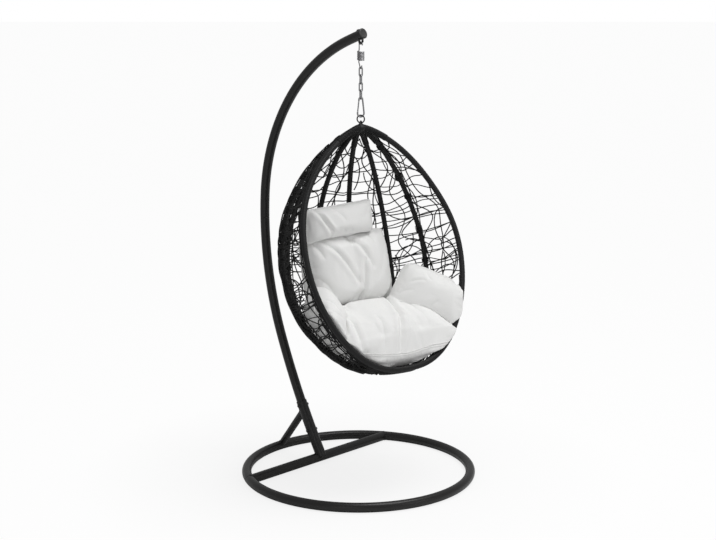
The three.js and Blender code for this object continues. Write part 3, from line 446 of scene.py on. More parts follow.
def stored(tree, geometry, name, value):
    values = {0: geometry, "Name": name, "Value": value}
    return tree.geometry("StoreNamedAttribute", values, data_type="FLOAT", domain="POINT")


def length_along(tree):
    return tree.geometry("SplineParameter", output=1)


def oval(tree, sides, radius, first, second):
    """A closed profile that is stretched both ways, and knows how far round it each point is."""
    ring = tree.geometry("CurvePrimitiveCircle", {0: sides, "Radius": radius})
    ring = tree.geometry("Transform", {0: ring, "Scale": tree.xyz(first, second, 1.0)})
    return stored(tree, ring, "across", length_along(tree))


def swept(tree, curve, profile):
    return tree.geometry("CurveToMesh", {0: curve, 1: profile, "Fill Caps": True})


def wire_tree():
    """Sweeps a round or flattened wire along drawn lines."""
    tree, given = geometry_tree("Wire along lines", {"Wire Radius": 0.002, "Flatness": 1.0, "Sides": 8})
    curve = tree.geometry("MeshToCurve", {0: given["Geometry"]})
    curve = stored(tree, curve, "along", length_along(tree))
    profile = oval(tree, given["Sides"], given["Wire Radius"], 1.0, given["Flatness"])
    return close_tree(tree, swept(tree, curve, profile), given)


def wrap_tree():
    """A core tube along a line, with a flat strand wound round it."""
    tree, given = geometry_tree("Cane wrap along a line", {
        "Core Radius": 0.01, "Pitch": 0.007, "Strand Width": 0.0068, "Strand Height": 0.002,
        "Steps per Turn": 14, "Unevenness": 0.15, "Seed": 0.0,
    })
    curve = tree.geometry("MeshToCurve", {0: given["Geometry"]})
    whole = tree.geometry("CurveLength", {0: curve})
    count = whole / given["Pitch"] * given["Steps per Turn"] + 1.0
    fine = tree.geometry("ResampleCurve", {0: curve, "Count": count}, mode="COUNT")
    length = length_along(tree)
    normal = tree.geometry("InputNormal")
    binormal = tree.vector("CROSS_PRODUCT", tree.geometry("InputTangent"), normal)
    seeded = tree.xyz(length * 45.0, given["Seed"], 0.0)
    waver = tree.node("ShaderNodeTexNoise", {"Vector": seeded, "Scale": 1.0, "Detail": 1.0}) - 0.5
    turns = length / given["Pitch"] + waver * given["Unevenness"] * 6.0
    angle = turns * (2 * math.pi)
    first = tree.vector("SCALE", normal, Scale=angle.cosine())
    outward = tree.vector("ADD", first, tree.vector("SCALE", binormal, Scale=angle.sine()))
    lift = given["Core Radius"] + waver * given["Unevenness"] * 0.004
    kept = tree.geometry("CaptureAttribute", output=None, domain="POINT")
    kept.capture_items.new("VECTOR", "Outward")
    tree.fill(kept, {0: fine, 1: outward})
    coil = stored(tree, Socket(tree, kept.outputs[0]), "turn", turns.floor())
    coil = tree.geometry("SetPosition", {0: coil, "Offset": tree.vector("SCALE", outward, Scale=lift)})
    coil = tree.geometry("SetCurveNormal", {0: coil, "Normal": Socket(tree, kept.outputs[1])}, mode="FREE")
    coil = stored(tree, coil, "along", length_along(tree))
    strand = swept(tree, coil, oval(tree, 8, 0.5, given["Strand Height"], given["Strand Width"]))
    core = swept(tree, curve, tree.geometry("CurvePrimitiveCircle", {0: 14, "Radius": given["Core Radius"]}))
    return close_tree(tree, tree.geometry("JoinGeometry", {0: [strand, core]}), given)


def bolt_tree():
    """Hexagon bolt heads on one side of a tube and dome nuts on the other, with their washers."""
    tree, given = geometry_tree("Bolts through the post", {
        "Across Flats": 0.013, "Head Height": 0.0053, "Washer Radius": 0.0082, "Span": POST_RADIUS + 0.0003,
    })
    corner = given["Across Flats"] * (0.5 / math.cos(math.pi / 6))

    def placed(part, x):
        values = {0: part, "Translation": tree.xyz(x, 0.0, 0.0), "Rotation": (0, math.pi / 2, 0)}
        return tree.geometry("Transform", values)

    def disc(sides, radius, depth):
        return tree.geometry("MeshCylinder", {0: sides, "Radius": radius, "Depth": depth})

    def cone(sides, top, bottom, depth):
        values = {0: sides, "Radius Top": top, "Radius Bottom": bottom, "Depth": depth}
        return tree.geometry("MeshCone", values)

    span, high = given["Span"], given["Head Height"]
    washer, thin = given["Washer Radius"], 0.0012
    parts = [
        placed(disc(32, washer, thin), 0.0 - span - 0.0001),
        placed(disc(6, corner, high * 0.8), 0.0 - span - high * 0.4 - thin * 0.5),
        placed(cone(24, corner * 0.97, corner * 0.78, high * 0.2), 0.0 - span - high * 0.9 - thin * 0.5),
        placed(disc(32, washer, thin), span + 0.0001),
        placed(disc(6, corner, high), span + high * 0.5 + thin * 0.5),
        placed(cone(20, 0.0022, corner * 0.82, high * 0.75), span + high * 1.37 + thin * 0.5),
        placed(disc(16, 0.0039, span * 2.0), 0.0),
    ]
    joined = tree.geometry("JoinGeometry", {0: parts})
    set_bolts = tree.geometry("InstanceOnPoints", {0: given["Geometry"], "Instance": joined})
    return close_tree(tree, set_bolts, given)


TREE_MAKERS = {"wire": wire_tree, "wrap": wrap_tree, "bolt": bolt_tree}
TREES = {}


def baked(name, mesh, tree_name, finish, values):
    """Runs a geometry tree over a mesh, and returns the plain mesh object that it makes."""
    if tree_name not in TREES:
        TREES[tree_name] = TREE_MAKERS[tree_name]()
    carrier = add_object(f"{name}_lines", mesh)
    modifier = carrier.modifiers.new("Form", "NODES")
    modifier.node_group = TREES[tree_name]
    wanted = {"Material": finish, **values}
    for item in modifier.node_group.interface.items_tree:
        if item.item_type == "SOCKET" and item.in_out == "INPUT" and item.name in wanted:
            modifier[item.identifier] = wanted[item.name]
    depsgraph = bpy.context.evaluated_depsgraph_get()
    result = bpy.data.meshes.new_from_object(
        carrier.evaluated_get(depsgraph), preserve_all_data_layers=True, depsgraph=depsgraph
    )
    result.name = name
    bpy.data.objects.remove(carrier)
    made = add_object(name, result)
    if not result.materials or result.materials[0] is None:
        result.materials.clear()
        result.materials.append(finish)
    result.set_sharp_from_angle(angle=math.radians(45))
    return made


def lines_mesh(name, lines, closed=False):
    """One mesh of edges through each list of points."""
    verts, edges = [], []
    for points in lines:
        first = len(verts)
        verts.extend(tuple(p) for p in points)
        edges.extend((first + i, first + i + 1) for i in range(len(points) - 1))
        if closed:
            edges.append((first + len(points) - 1, first))
    mesh = bpy.data.meshes.new(name)
    mesh.from_pydata(verts, edges, [])
    return mesh


# Paths
UP = Vector((0, 0, 1))
ACROSS = Vector((1, 0, 0))


def route(start, ahead, aside, heading, stretches):
    """A flat path of (length, turn) stretches, as a function of the distance along it."""
    start, ahead, aside = Vector(start), Vector(ahead), Vector(aside)

    def at(distance):
        x, y, angle, left = 0.0, 0.0, heading, distance
        for index, (length, turn) in enumerate(stretches):
            first = index == 0 and left < 0
            last = index == len(stretches) - 1
            run = left if first or last else min(left, length)
            turned = turn * run / length
            chord = run if abs(turned) < 1e-12 else 2 * math.sin(turned / 2) * run / turned
            x += chord * math.cos(angle + turned / 2)
            y += chord * math.sin(angle + turned / 2)
            angle += turned
            left -= run
            if first or left <= 0:
                break
        return start + ahead * x + aside * y, ahead * math.cos(angle) + aside * math.sin(angle)

    at.whole = sum(length for length, _ in stretches)
    return at


def circle(centre, side, other, radius, count):
    """Points round a circle, from one direction in its plane towards the other."""
    angles = [2 * math.pi * k / count for k in range(count)]
    return [centre + side * (radius * math.cos(a)) + other * (radius * math.sin(a)) for a in angles]


def skinned(rings, looped=False):
    """Corners and faces of a skin over rings of points, where a ring of one point closes it."""
    verts, rows, faces = [], [], []
    for ring in rings:
        rows.append(range(len(verts), len(verts) + len(ring)))
        verts.extend(ring)
    for low, high in zip(rows, rows[1:] + (rows[:1] if looped else [])):
        sides = max(len(low), len(high))
        for k in range(sides):
            n = (k + 1) % sides
            corners = (low[k % len(low)], low[n % len(low)], high[n % len(high)], high[k % len(high)])
            faces.append(tuple(dict.fromkeys(corners)))
    return verts, faces


def turned_along(at, profile, sides, hint):
    """A tube turned along a path: rings of (distance, radius), closed to a point where the radius is 0."""
    rings = []
    for distance, radius in profile:
        point, way = at(distance)
        side = (hint - way * hint.dot(way)).normalized()
        rings.append(circle(point, side, way.cross(side), radius, sides) if radius else [point])
    return skinned(rings)


def turned_piece(name, body, slot, nodes, at, profile, sides, hint=ACROSS):
    mesh = mesh_of(name, *turned_along(at, profile, sides, hint))
    return settle(add_object(name, mesh, material(slot)), body, slot, *nodes)


def steps_between(start, stop, step):
    count = max(1, round((stop - start) / step))
    return [start + (stop - start) * i / count for i in range(count + 1)]


def tube_profile(start, stop, radius, step=0.012, lip=0.0012):
    """Rings of a plain tube with softly rounded ends, closed at both."""
    rounds = [(0, 1.0), (0.3, 0.45), (1.0, 0.0)]
    rings = [(start, 0), (start, radius - lip)]
    rings += [(start + lip * a, radius - lip * b) for a, b in rounds]
    rings += [(d, radius) for d in steps_between(start + 2 * lip, stop - 2 * lip, step)]
    rings += [(stop - lip * a, radius - lip * b) for a, b in reversed(rounds)]
    return rings + [(stop, radius - lip), (stop, 0)]


def ring_at(angle):
    place = Vector((math.cos(angle), math.sin(angle), 0)) * RING_CENTRE_RADIUS
    return place + Vector((0, RING_Y, RING_HEIGHT))


def ring_route(angle):
    """The floor ring's path, from an angle all the way round."""
    way = Vector((-math.sin(angle), math.cos(angle), 0))
    aside = Vector((-math.cos(angle), -math.sin(angle), 0))
    return route(ring_at(angle), way, aside, 0.0, [(2 * math.pi * RING_CENTRE_RADIUS, 2 * math.pi)])


pole_from_zero = route((0, 0, 0), UP, (0, 1, 0), POLE_LEAN, POLE_STRETCHES)
bulge_step = 2 * RING_TUBE
bulge = max(pole_from_zero(bulge_step * i)[0].y for i in range(int(pole_from_zero.whole / bulge_step) + 1))
RING_Y = (RING_RADIUS - (BAR_SETBACK - POST_AHEAD + bulge + POLE_RADIUS)) / 2
BAR_Y = RING_Y + BAR_SETBACK
pole_line = route((0, BAR_Y - POST_AHEAD, RING_HEIGHT), UP, (0, 1, 0), POLE_LEAN, POLE_STRETCHES)
BAR_ANGLE = math.asin(BAR_SETBACK / RING_CENTRE_RADIUS)

hang = pole_line(pole_line.whole - HANG_BACK)[0]
HANG_Y = hang.y
LOOP_BOTTOM = hang.z - LOOP_DROP
HOOK_TOP = LOOP_BOTTOM + LOOP_ROD + SPRING_WIRE + CHAIN_SLACK
COIL_TOP = HOOK_TOP - HOOK_RADIUS - UPPER_LEG
COIL_BOTTOM = COIL_TOP - SPRING_TURNS * SPRING_PITCH
HOOK_BOTTOM = COIL_BOTTOM - LOWER_LEG - HOOK_RADIUS
LINK_TOPS = [HOOK_BOTTOM + SPRING_WIRE + LINK_WIRE + CHAIN_SLACK]
for _ in range(3):
    LINK_TOPS.append(LINK_TOPS[-1] - (LINK_LENGTH - 2 * LINK_WIRE - CHAIN_SLACK))
CLIP_TOP = LINK_TOPS[-1] - LINK_LENGTH + LINK_WIRE + CLIP_WIRE + CHAIN_SLACK
CLIP_BOTTOM = CLIP_TOP - (CLIP_LENGTH - 2 * CLIP_WIRE)
EYE_TOP = CLIP_BOTTOM + CLIP_WIRE + EYE_RING_WIRE + CHAIN_SLACK
CROWN_EYE_TOP = EYE_TOP - 2 * EYE_RING_RADIUS + EYE_RING_WIRE + CROWN_EYE_WIRE + CHAIN_SLACK
APEX_Z = CROWN_EYE_TOP - CROWN_BELOW_EYE


def below(z):
    return Vector((0, HANG_Y, z))


def yawed(yaw):
    return Vector((math.cos(yaw), math.sin(yaw), 0))


# Basket surface, in its own frame: x across, y to the back, the apex of the tube lines at APEX_Z
def swell(u, form):
    top, bottom, lean, arch = form
    return u**top * (1 - u) ** bottom * (1 + lean * (u - 0.5) + arch * (u - 0.5) ** 2)


U_FINE = np.linspace(0, 1, 10001)
WIDTH_PEAK = swell(U_FINE, WIDTH_FORM).max()
DEPTH_PEAK = swell(U_FINE, DEPTH_FORM).max()
DOWN_RIM = np.array([0, -math.sin(POD_TILT), -math.cos(POD_TILT)]) * math.cos(POD_ASIDE)
DOWN_RIM[0] = -math.sin(POD_ASIDE)
INTO_BACK = np.array([0, math.cos(POD_TILT), -math.sin(POD_TILT)])
POD_TO_WORLD = Matrix.Translation((0, HANG_Y, 0)) @ Matrix.Rotation(POD_YAW, 4, "Z")
WORLD_TO_POD = POD_TO_WORLD.inverted()
APEX = np.array([0, 0, APEX_Z])


def moved(points, matrix):
    matrix = np.array(matrix)
    return np.asarray(points) @ matrix[:3, :3].T + matrix[:3, 3]


def to_world(points):
    return moved(points, POD_TO_WORLD)


def to_pod(points):
    return moved(points, WORLD_TO_POD)


def half_width(u):
    return POD_HALF_WIDTH * swell(u, WIDTH_FORM) / WIDTH_PEAK


def depth(u):
    return POD_DEPTH * swell(u, DEPTH_FORM) / DEPTH_PEAK


def basket_points(u, side, back):
    """Points of the basket's surface, in its frame. Arrays of equal length."""
    u, side, back = (np.atleast_1d(np.asarray(v, float)) for v in (u, side, back))
    u = np.clip(u, 0, 1)
    setback = RIM_SETBACK[0] * np.exp(-(((u - RIM_SETBACK[1]) / RIM_SETBACK[2]) ** 2)) * side**4
    points = APEX + u[:, None] * POD_LENGTH * DOWN_RIM
    points = points + (side * half_width(u))[:, None] * np.array([1.0, 0, 0])
    return points + (back * depth(u) + setback)[:, None] * INTO_BACK


def back_share(side):
    return (1 - np.abs(side) ** SQUARENESS) ** (1 / SQUARENESS)


def section(angle):
    """Side and back shares at an angle round the basket: -90 degrees is the left rim, 0 the back."""
    angle = np.asarray(angle, float)
    x, y = np.sin(angle), np.maximum(np.cos(angle), 0)
    reach = (np.abs(x) ** SQUARENESS + y**SQUARENESS) ** (1 / SQUARENESS)
    return x / reach, y / reach


def angle_of(side):
    return math.atan2(side, float(back_share(side)))


RIB_ANGLES = [angle_of(s) for s in RIB_SIDES]


def surface(u, angle, lift=0.0):
    """World points of the basket's surface at angles round it, lifted outwards."""
    u, angle = np.atleast_1d(np.asarray(u, float)), np.atleast_1d(np.asarray(angle, float))
    points = basket_points(u, *section(angle))
    small = 1e-3
    along = basket_points(u + small, *section(angle)) - basket_points(u - small, *section(angle))
    across = basket_points(u, *section(angle + small)) - basket_points(u, *section(angle - small))
    normal = np.cross(across, along)
    normal /= np.maximum(np.linalg.norm(normal, axis=1), 1e-9)[:, None]
    middle = basket_points(u, 0 * angle, 0.4 + 0 * angle)
    flip = np.sign(np.einsum("ij,ij->i", normal, points - middle))
    normal *= np.where(flip == 0, 1, flip)[:, None]
    return to_world(points + normal * np.asarray(lift, float).reshape(-1, 1))


def eased(t):
    return (1 - np.cos(math.pi * np.asarray(t, float))) / 2


def in_basket(points):
    """World points as (from the apex in the basket's frame, share down the rim, distance aside)."""
    local = to_pod(points) - APEX
    down = local @ DOWN_RIM / POD_LENGTH
    return local, down, local[:, 0] - down * POD_LENGTH * DOWN_RIM[0]


def basket_share(points, side_margin, back_margin, front_bulge):
    """How far out of the middle world points are: below 1 they are inside the tubes by the margins."""
    local, down, aside = in_basket(points)
    u = 0.5 + (down - 0.5) / (1 - 2 * side_margin / POD_LENGTH)
    deep = local @ INTO_BACK
    safe = np.clip(u, 1e-4, 1 - 1e-4)
    across = np.abs(aside) / (half_width(safe) * (1 - side_margin / POD_HALF_WIDTH))
    back = np.maximum(deep, 0) / (depth(safe) * (1 - back_margin / POD_DEPTH))
    share = (across**SQUARENESS + back**SQUARENESS) ** (1 / SQUARENESS)
    outside = (u <= 0) | (u >= 1) | (deep < -front_bulge)
    return np.where(outside, 2.0, share)


# Stand
def stand_tube(name, node, at, start, stop, radius, hint=ACROSS, step=0.012):
    turned_piece(name, "stand", "powder_coat", [node], at, tube_profile(start, stop, radius, step), 40, hint)


def distance_to_ring(point):
    flat = math.hypot(point.x, point.y - RING_Y) - RING_CENTRE_RADIUS
    return math.hypot(flat, point.z - RING_HEIGHT)


def distance_to_bar(point):
    return math.hypot(point.y - BAR_Y, point.z - RING_HEIGHT)


def distance_to_post(point):
    return min((pole_line(POST_LENGTH * i / 40)[0] - point).length for i in range(41))


def meets(origin, way, distance, radius, reach):
    """The first place along a straight line where it leaves a tube."""
    inside, outside = 0.0, reach
    for _ in range(30):
        middle = (inside + outside) / 2
        if distance(origin + way * middle) < radius:
            inside = middle
        else:
            outside = middle
    return origin + way * inside


def coped_tube(name, node, start, stop, radius, ends):
    """A straight tube whose ends fit round the tubes that it is welded to. Returns the lines of its welds."""
    way = (stop - start).normalized()
    side = way.orthogonal().normalized()
    half = (stop - start).length / 2
    rims = []
    for origin, direction, (distance, tube) in ((start, way, ends[0]), (stop, -way, ends[1])):
        rims.append([meets(point, direction, distance, tube, half)
                     for point in circle(origin, side, way.cross(side), radius, COPE_SIDES)])
    rows = [[a.lerp(b, i / COPE_ROWS) for a, b in zip(*rims)] for i in range(COPE_ROWS + 1)]
    rings = [[start + way * (ends[0][1] * 0.5)], *rows, [stop - way * (ends[1][1] * 0.5)]]
    piece = add_object(name, mesh_of(name, *skinned(rings)), material("powder_coat"))
    settle(piece, "stand", "powder_coat", node)
    return rims


def bead_rings(line, bead):
    """Rings round a closed line, rippled like the scales of a weld, and kept above the floor."""
    count = len(line)
    length = sum((line[i] - line[(i + 1) % count]).length for i in range(count))
    steps = max(24, int(length / (WELD_SCALE / 3)))
    fine = []
    for i in range(steps):
        t = i / steps * count
        a, b = line[int(t) % count], line[(int(t) + 1) % count]
        fine.append(a.lerp(b, t - int(t)))
    rings = []
    for i, point in enumerate(fine):
        way = (fine[(i + 1) % steps] - fine[i - 1]).normalized()
        steep = abs(way.z) >= 0.95
        side = (way.orthogonal() if steep else UP - way * UP.dot(way)).normalized()
        radius = bead * (1 + 0.16 * math.sin(2 * math.pi * i * length / steps / WELD_SCALE))
        rings.append(circle(point, side, way.cross(side), radius, 8))
        for vert in rings[-1]:
            vert.z = max(vert.z, 0.0)
    return rings


def weld_beads(name, lines, bead=WELD_BEAD):
    """Weld beads: a rippled fillet along each line where one tube meets another."""
    verts, faces = [], []
    for line in lines:
        corners, skin = skinned(bead_rings(line, bead), looped=True)
        faces += [[corner + len(verts) for corner in face] for face in skin]
        verts += corners
    mesh = edited(
        mesh_of(name, verts, faces, 0), lambda work: bmesh.ops.recalc_face_normals(work, faces=work.faces))
    settle(add_object(name, mesh, material("powder_coat")), "stand", "powder_coat")


def make_base():
    arcs = (("front", math.pi - BAR_ANGLE, math.pi + 2 * BAR_ANGLE), ("rear", BAR_ANGLE, math.pi - 2 * BAR_ANGLE))
    for place, start, sweep in arcs:
        stop = sweep * RING_CENTRE_RADIUS - WELD_GAP
        stand_tube(
            f"base_{place}_arc", f"base_ring_{place}", ring_route(start), WELD_GAP, stop, RING_TUBE, UP, 0.014)
    half = RING_CENTRE_RADIUS * math.cos(BAR_ANGLE)
    left, right = Vector((-half, BAR_Y, RING_HEIGHT)), Vector((half, BAR_Y, RING_HEIGHT))
    ring_end, post_end = (distance_to_ring, RING_TUBE), (distance_to_post, POST_RADIUS)
    rims = coped_tube("base_cross_bar", "cross_bar", left, right, RING_TUBE, (ring_end, ring_end))
    foot, head = ring_at(math.pi / 2), pole_line(POST_LENGTH * STRUT_TOP)[0]
    rims += coped_tube("post_strut", "rear_strut", foot, head, STRUT_RADIUS, (ring_end, post_end))
    start, way = pole_line(0)
    around = circle(start, ACROSS, way.cross(ACROSS), POST_RADIUS, COPE_SIDES)
    post_foot = [meets(point, way, distance_to_bar, RING_TUBE, 0.08) for point in around]
    weld_beads("base_welds", [*rims, post_foot])


def make_post():
    top, r, lip = POST_LENGTH, POST_RADIUS, 0.0012
    inner = r - POST_WALL
    profile = [(0.004, 0), (0.004, r)]
    profile += [(d, r) for d in steps_between(0.012, top - 2 * lip, 0.01)]
    profile += [(top - 0.4 * lip, r - 0.25 * lip), (top, r - lip), (top, inner + 0.0004)]
    profile += [(top - MOUTH_DEPTH, inner), (top - MOUTH_DEPTH, 0)]
    turned_piece("post_tube", "stand", "powder_coat", ["lower_post"], pole_line, profile, 40)
    points = bpy.data.meshes.new("bolt_points")
    points.from_pydata([tuple(pole_line(d)[0]) for d in BOLT_PLACES], [], [])
    bolts = baked("post_bolts", points, "bolt", material("black_steel"), {})
    settle(bolts, "stand", "zinc_steel", "post_bolt_1", "post_bolt_2", "post_nut_1", "post_nut_2")


def make_pole():
    end, r = pole_line.whole, POLE_RADIUS
    stand_tube("pole_lower_length", "lower_pole", pole_line, POLE_SEAT, POLE_JOINT - JOINT_GAP, r)
    stand_tube("pole_upper_length", "upper_pole", pole_line, POLE_JOINT + JOINT_GAP, end - WELD_GAP, r)
    profile = [(end + past, r + wider) for past, wider in CAP_OUTLINE]
    profile = [(end - 0.012, 0), *profile, (end + 0.0044, 0.004), (end + 0.0044, 0)]
    turned_piece("tube_cap", "stand", "cap_plastic", ["pole_cap"], pole_line, profile, 48)
    middle, way = pole_line(end - 0.019)
    above = ACROSS.cross(way)
    above = above if above.z > 0 else -above
    turn = above.to_track_quat("Z", "Y").to_matrix().to_4x4()
    place = Matrix.Translation(middle + above * r) @ turn @ Matrix.Diagonal((1, 1, 0.5, 1))

    def dome(work):
        bmesh.ops.create_uvsphere(work, u_segments=32, v_segments=16, radius=ROD_DOME, matrix=place)

    mesh = edited(bpy.data.meshes.new("hanger_rod_dome"), dome)
    mesh.shade_smooth()
    settle(add_object("hanger_rod_dome", mesh, material("powder_coat")), "stand", "powder_coat")


# Hanging set
def wires(name, lines, finish, radius, sides, closed=False, flatness=1.0):
    """Round or flattened wires along lines of points, as one piece."""
    values = {"Wire Radius": radius, "Sides": sides, "Flatness": flatness}
    return baked(name, lines_mesh(name, lines, closed), "wire", material(finish), values)


def make_loop():
    straight = LOOP_DROP - LOOP_HALF
    bends = [(straight, 0.0), (LOOP_HALF * math.pi, math.pi), (straight, 0.0)]
    at = route((-LOOP_HALF, HANG_Y, hang.z), -UP, ACROSS, 0.0, bends)
    low = POLE_RADIUS * 0.9
    points = [at(d)[0] for d in steps_between(low, at.whole - low, 0.002)]
    eye = wires("hanger_eye", [points], "black_steel", LOOP_ROD, 16)
    settle(eye, "stand", "zinc_steel", "hanger_loop")
    lean = pole_line(pole_line.whole - HANG_BACK)[1]
    slope = lean.z / max(lean.y, 0.1)
    lines = []
    for x in (-LOOP_HALF, LOOP_HALF):
        lines.append(circle(Vector((x, HANG_Y, 0)), ACROSS, Vector((0, 1, 0)), LOOP_ROD, 24))
        for place in lines[-1]:
            across = math.sqrt(max(POLE_RADIUS**2 - place.x**2, 0))
            place.z = hang.z + slope * (place.y - HANG_Y) - across
    weld_beads("hanger_welds", lines, LOOP_WELD)


def spring_hook(centre, yaw, up):
    """Points of a half circle over the end of the coil, from its foot."""
    across = yawed(yaw + math.pi / 2)
    made = [centre - across * HOOK_RADIUS - UP * (up * 2 * SPRING_WIRE)]
    for k in range(13):
        angle = math.pi - math.pi * k / 12
        made.append(centre + (across * math.cos(angle) + UP * (up * math.sin(angle))) * HOOK_RADIUS)
    return made


def bridge(before, after):
    """Points of a smooth bend between two runs of a wire."""
    a, b = before[-1], after[0]
    size = (b - a).length * 0.8
    ahead = (before[-1] - before[-2]).normalized() * size
    behind = (after[1] - after[0]).normalized() * size
    made = []
    for t in (i / 6 for i in range(1, 6)):
        made.append(
            a * (2 * t**3 - 3 * t**2 + 1) + ahead * (t**3 - 2 * t**2 + t)
            + b * (3 * t**2 - 2 * t**3) + behind * (t**3 - t**2)
        )
    return made


def make_spring():
    """One unbroken wire: a hook, a close coil, and a hook. It stretches between the pole and the chain."""
    upper = spring_hook(below(HOOK_TOP - HOOK_RADIUS), 0, 1)
    lower = spring_hook(below(HOOK_BOTTOM + HOOK_RADIUS), CHAIN_YAW, -1)[::-1]
    sweep = SPRING_TURNS * 2 * math.pi + CHAIN_YAW
    steps = SPRING_TURNS * 28
    coil = []
    for i in range(steps + 1):
        share = i / steps
        out = yawed(math.pi / 2 + share * sweep)
        coil.append(below(COIL_TOP - share * (COIL_TOP - COIL_BOTTOM)) + out * SPRING_RADIUS)
    points = upper + bridge(upper, coil) + coil + bridge(coil, lower) + lower
    piece = wires("coil_spring", [points], "zinc_steel", SPRING_WIRE, 12)
    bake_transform(piece)
    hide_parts("suspension_spring")


def make_chain():
    straight = LINK_LENGTH - 2 * LINK_HALF
    for index, top in enumerate(LINK_TOPS):
        across = yawed(CHAIN_YAW + (index % 2) * math.pi / 2)
        centre = below(top - LINK_LENGTH / 2)
        points = []
        for end in (1, -1):
            places = [(math.cos(math.pi * i / 12) * LINK_HALF, math.sin(math.pi * i / 12) * LINK_HALF + straight / 2)
                      for i in range(13)]
            places += [(-LINK_HALF, straight * (0.5 - i / 4)) for i in range(1, 4)]
            points += [centre + across * (end * x) + UP * (end * z) for x, z in places]
        link = wires(f"link_wire_{index + 1}", [points], "zinc_steel", LINK_WIRE, 16, True)
        settle(link, f"link_{index + 1}", "zinc_steel", f"chain_link_{index + 1}")


def make_hook():
    centres = CLIP_LENGTH - 2 * CLIP_WIRE - CLIP_BIG - CLIP_SMALL
    slope = math.asin((CLIP_BIG - CLIP_SMALL) / centres)
    side = centres * math.cos(slope)
    across = yawed(CHAIN_YAW)
    up = across * math.sin(slope) + UP * math.cos(slope)
    out = across * -math.cos(slope) + UP * math.sin(slope)
    foot = below(CLIP_BOTTOM + CLIP_BIG) + out * CLIP_BIG + up * (GATE_SHARES[0] * side)
    at = route(foot, -up, -out, 0.0, [
        (GATE_SHARES[0] * side, 0.0),
        (CLIP_BIG * (math.pi + 2 * slope), math.pi + 2 * slope),
        (side, 0.0),
        (CLIP_SMALL * (math.pi - 2 * slope), math.pi - 2 * slope),
        ((1 - GATE_SHARES[1]) * side, 0.0),
    ])
    points = [at(d)[0] for d in steps_between(0, at.whole, 0.0022)]
    settle(wires("clip_body", [points], "zinc_steel", CLIP_WIRE, 16), "hook", "zinc_steel", "snap_hook")

    span = (GATE_SHARES[1] - GATE_SHARES[0]) * side
    top, r = span - 0.0005, GATE_WIRE
    profile = [(0.0005, 0), (0.0006, 0.0012), (0.0016, r * 0.85), (0.003, r), (0.0095, r)]
    profile += [(0.0097, r * 0.82), (0.0112, r * 0.82), (0.0114, r), (top - 0.0042, r), (top - 0.004, r * 0.8)]
    profile += [(top - 0.003, r * 0.8), (top - 0.0028, r), (top - 0.0005, r), (top, r - 0.0005), (top, 0)]
    gate = route(foot, up, across, 0.0, [(span, 0.0)])
    turned_piece("clip_gate", "gate", "zinc_steel", ["snap_gate"], gate, profile, 20, Vector((0, 0.94, 0.1)))

    pin_way = across.cross(up).normalized()
    reach = CLIP_WIRE + RIVET_HEAD
    pin = route(foot + up * 0.0022 - pin_way * reach, pin_way, up, 0.0, [(2 * reach, 0.0)])
    ends = [(0, 0), (0, 0.0009), (0.0004, 0.0013), (RIVET_HEAD, 0.0013), (RIVET_HEAD, 0.0009)]
    profile = ends + [(pin.whole - d, radius) for d, radius in reversed(ends)]
    turned_piece("gate_rivet", "gate", "zinc_steel", [], pin, profile, 12, UP)


def make_eye_ring():
    points = circle(below(EYE_TOP - EYE_RING_RADIUS), yawed(EYE_RING_YAW), UP, EYE_RING_RADIUS, 48)
    ring = wires("eye_ring", [points], "black_steel", EYE_RING_WIRE - EYE_RING_EASE, 18, True)
    settle(ring, "ring", "zinc_steel", "apex_ring")


# Basket tubes
def meridian(side, start, stop, count=120):
    u = start + (stop - start) * eased(np.linspace(0, 1, count))
    return to_world(basket_points(u, np.full(count, side), np.full(count, back_share(side))))


def length_of(points):
    return np.linalg.norm(np.diff(points, axis=0), axis=1).sum()


def rim_points():
    start, count = 0.003, 150
    u = start + (1 - start) * eased(np.linspace(0, 1, count) ** 0.96)
    left = basket_points(u, np.full(count, -1.0), np.zeros(count))
    right = basket_points(u, np.full(count, 1.0), np.zeros(count))[::-1][1:]
    return to_world(np.vstack([left, right]))


def wrapped(name, node, points, radius, pitch, seed, height, unevenness):
    """A tube of the basket, wrapped in cane."""
    values = {
        "Core Radius": radius - height * 0.5, "Pitch": pitch, "Strand Width": pitch * 0.99,
        "Strand Height": height, "Steps per Turn": 12, "Unevenness": unevenness, "Seed": float(seed),
    }
    piece = baked(name, lines_mesh(name, [points]), "wrap", material("wrapped_cane"), values)
    settle(piece, "basket", "wrapped_cane", node)


def make_rim():
    wrapped("rim_wrap", "front_rim", rim_points(), RIM_RADIUS, 0.0072, 3, 0.0018, 0.05)


def make_ribs():
    for index, (side, name) in enumerate(zip(RIB_SIDES, RIB_NAMES)):
        outer = index in (0, len(RIB_SIDES) - 1)
        pitch, height, unevenness = (0.0095, 0.0026, 0.22) if outer else (0.0082, 0.0022, 0.12)
        points = meridian(side, 0.02, 0.999)
        wrapped(f"{name}_wrap", f"{name}_rib", points, RIB_RADIUS, pitch, 11 + index, height, unevenness)


def coil_round(centre_line, radius, start, stop, pitch, phase=0.0, steps=12):
    """A strand wound round a line from one distance along it to another."""
    points = np.asarray(centre_line, float)
    gaps = np.linalg.norm(np.diff(points, axis=0), axis=1)
    along = np.concatenate([[0], np.cumsum(gaps)])

    def at(distance):
        return Vector([np.interp(distance, along, points[:, k]) for k in range(3)])

    count = max(int((stop - start) / pitch * steps), 8)
    made = []
    for i in range(count + 1):
        distance = start + (stop - start) * i / count
        way = (at(distance + 0.004) - at(distance - 0.004)).normalized()
        side = way.cross(UP if abs(way.z) < 0.9 else Vector((0, 1, 0))).normalized()
        other = way.cross(side)
        angle = phase + 2 * math.pi * (distance - start) / pitch
        made.append(at(distance) + (side * math.cos(angle) + other * math.sin(angle)) * radius)
    return made


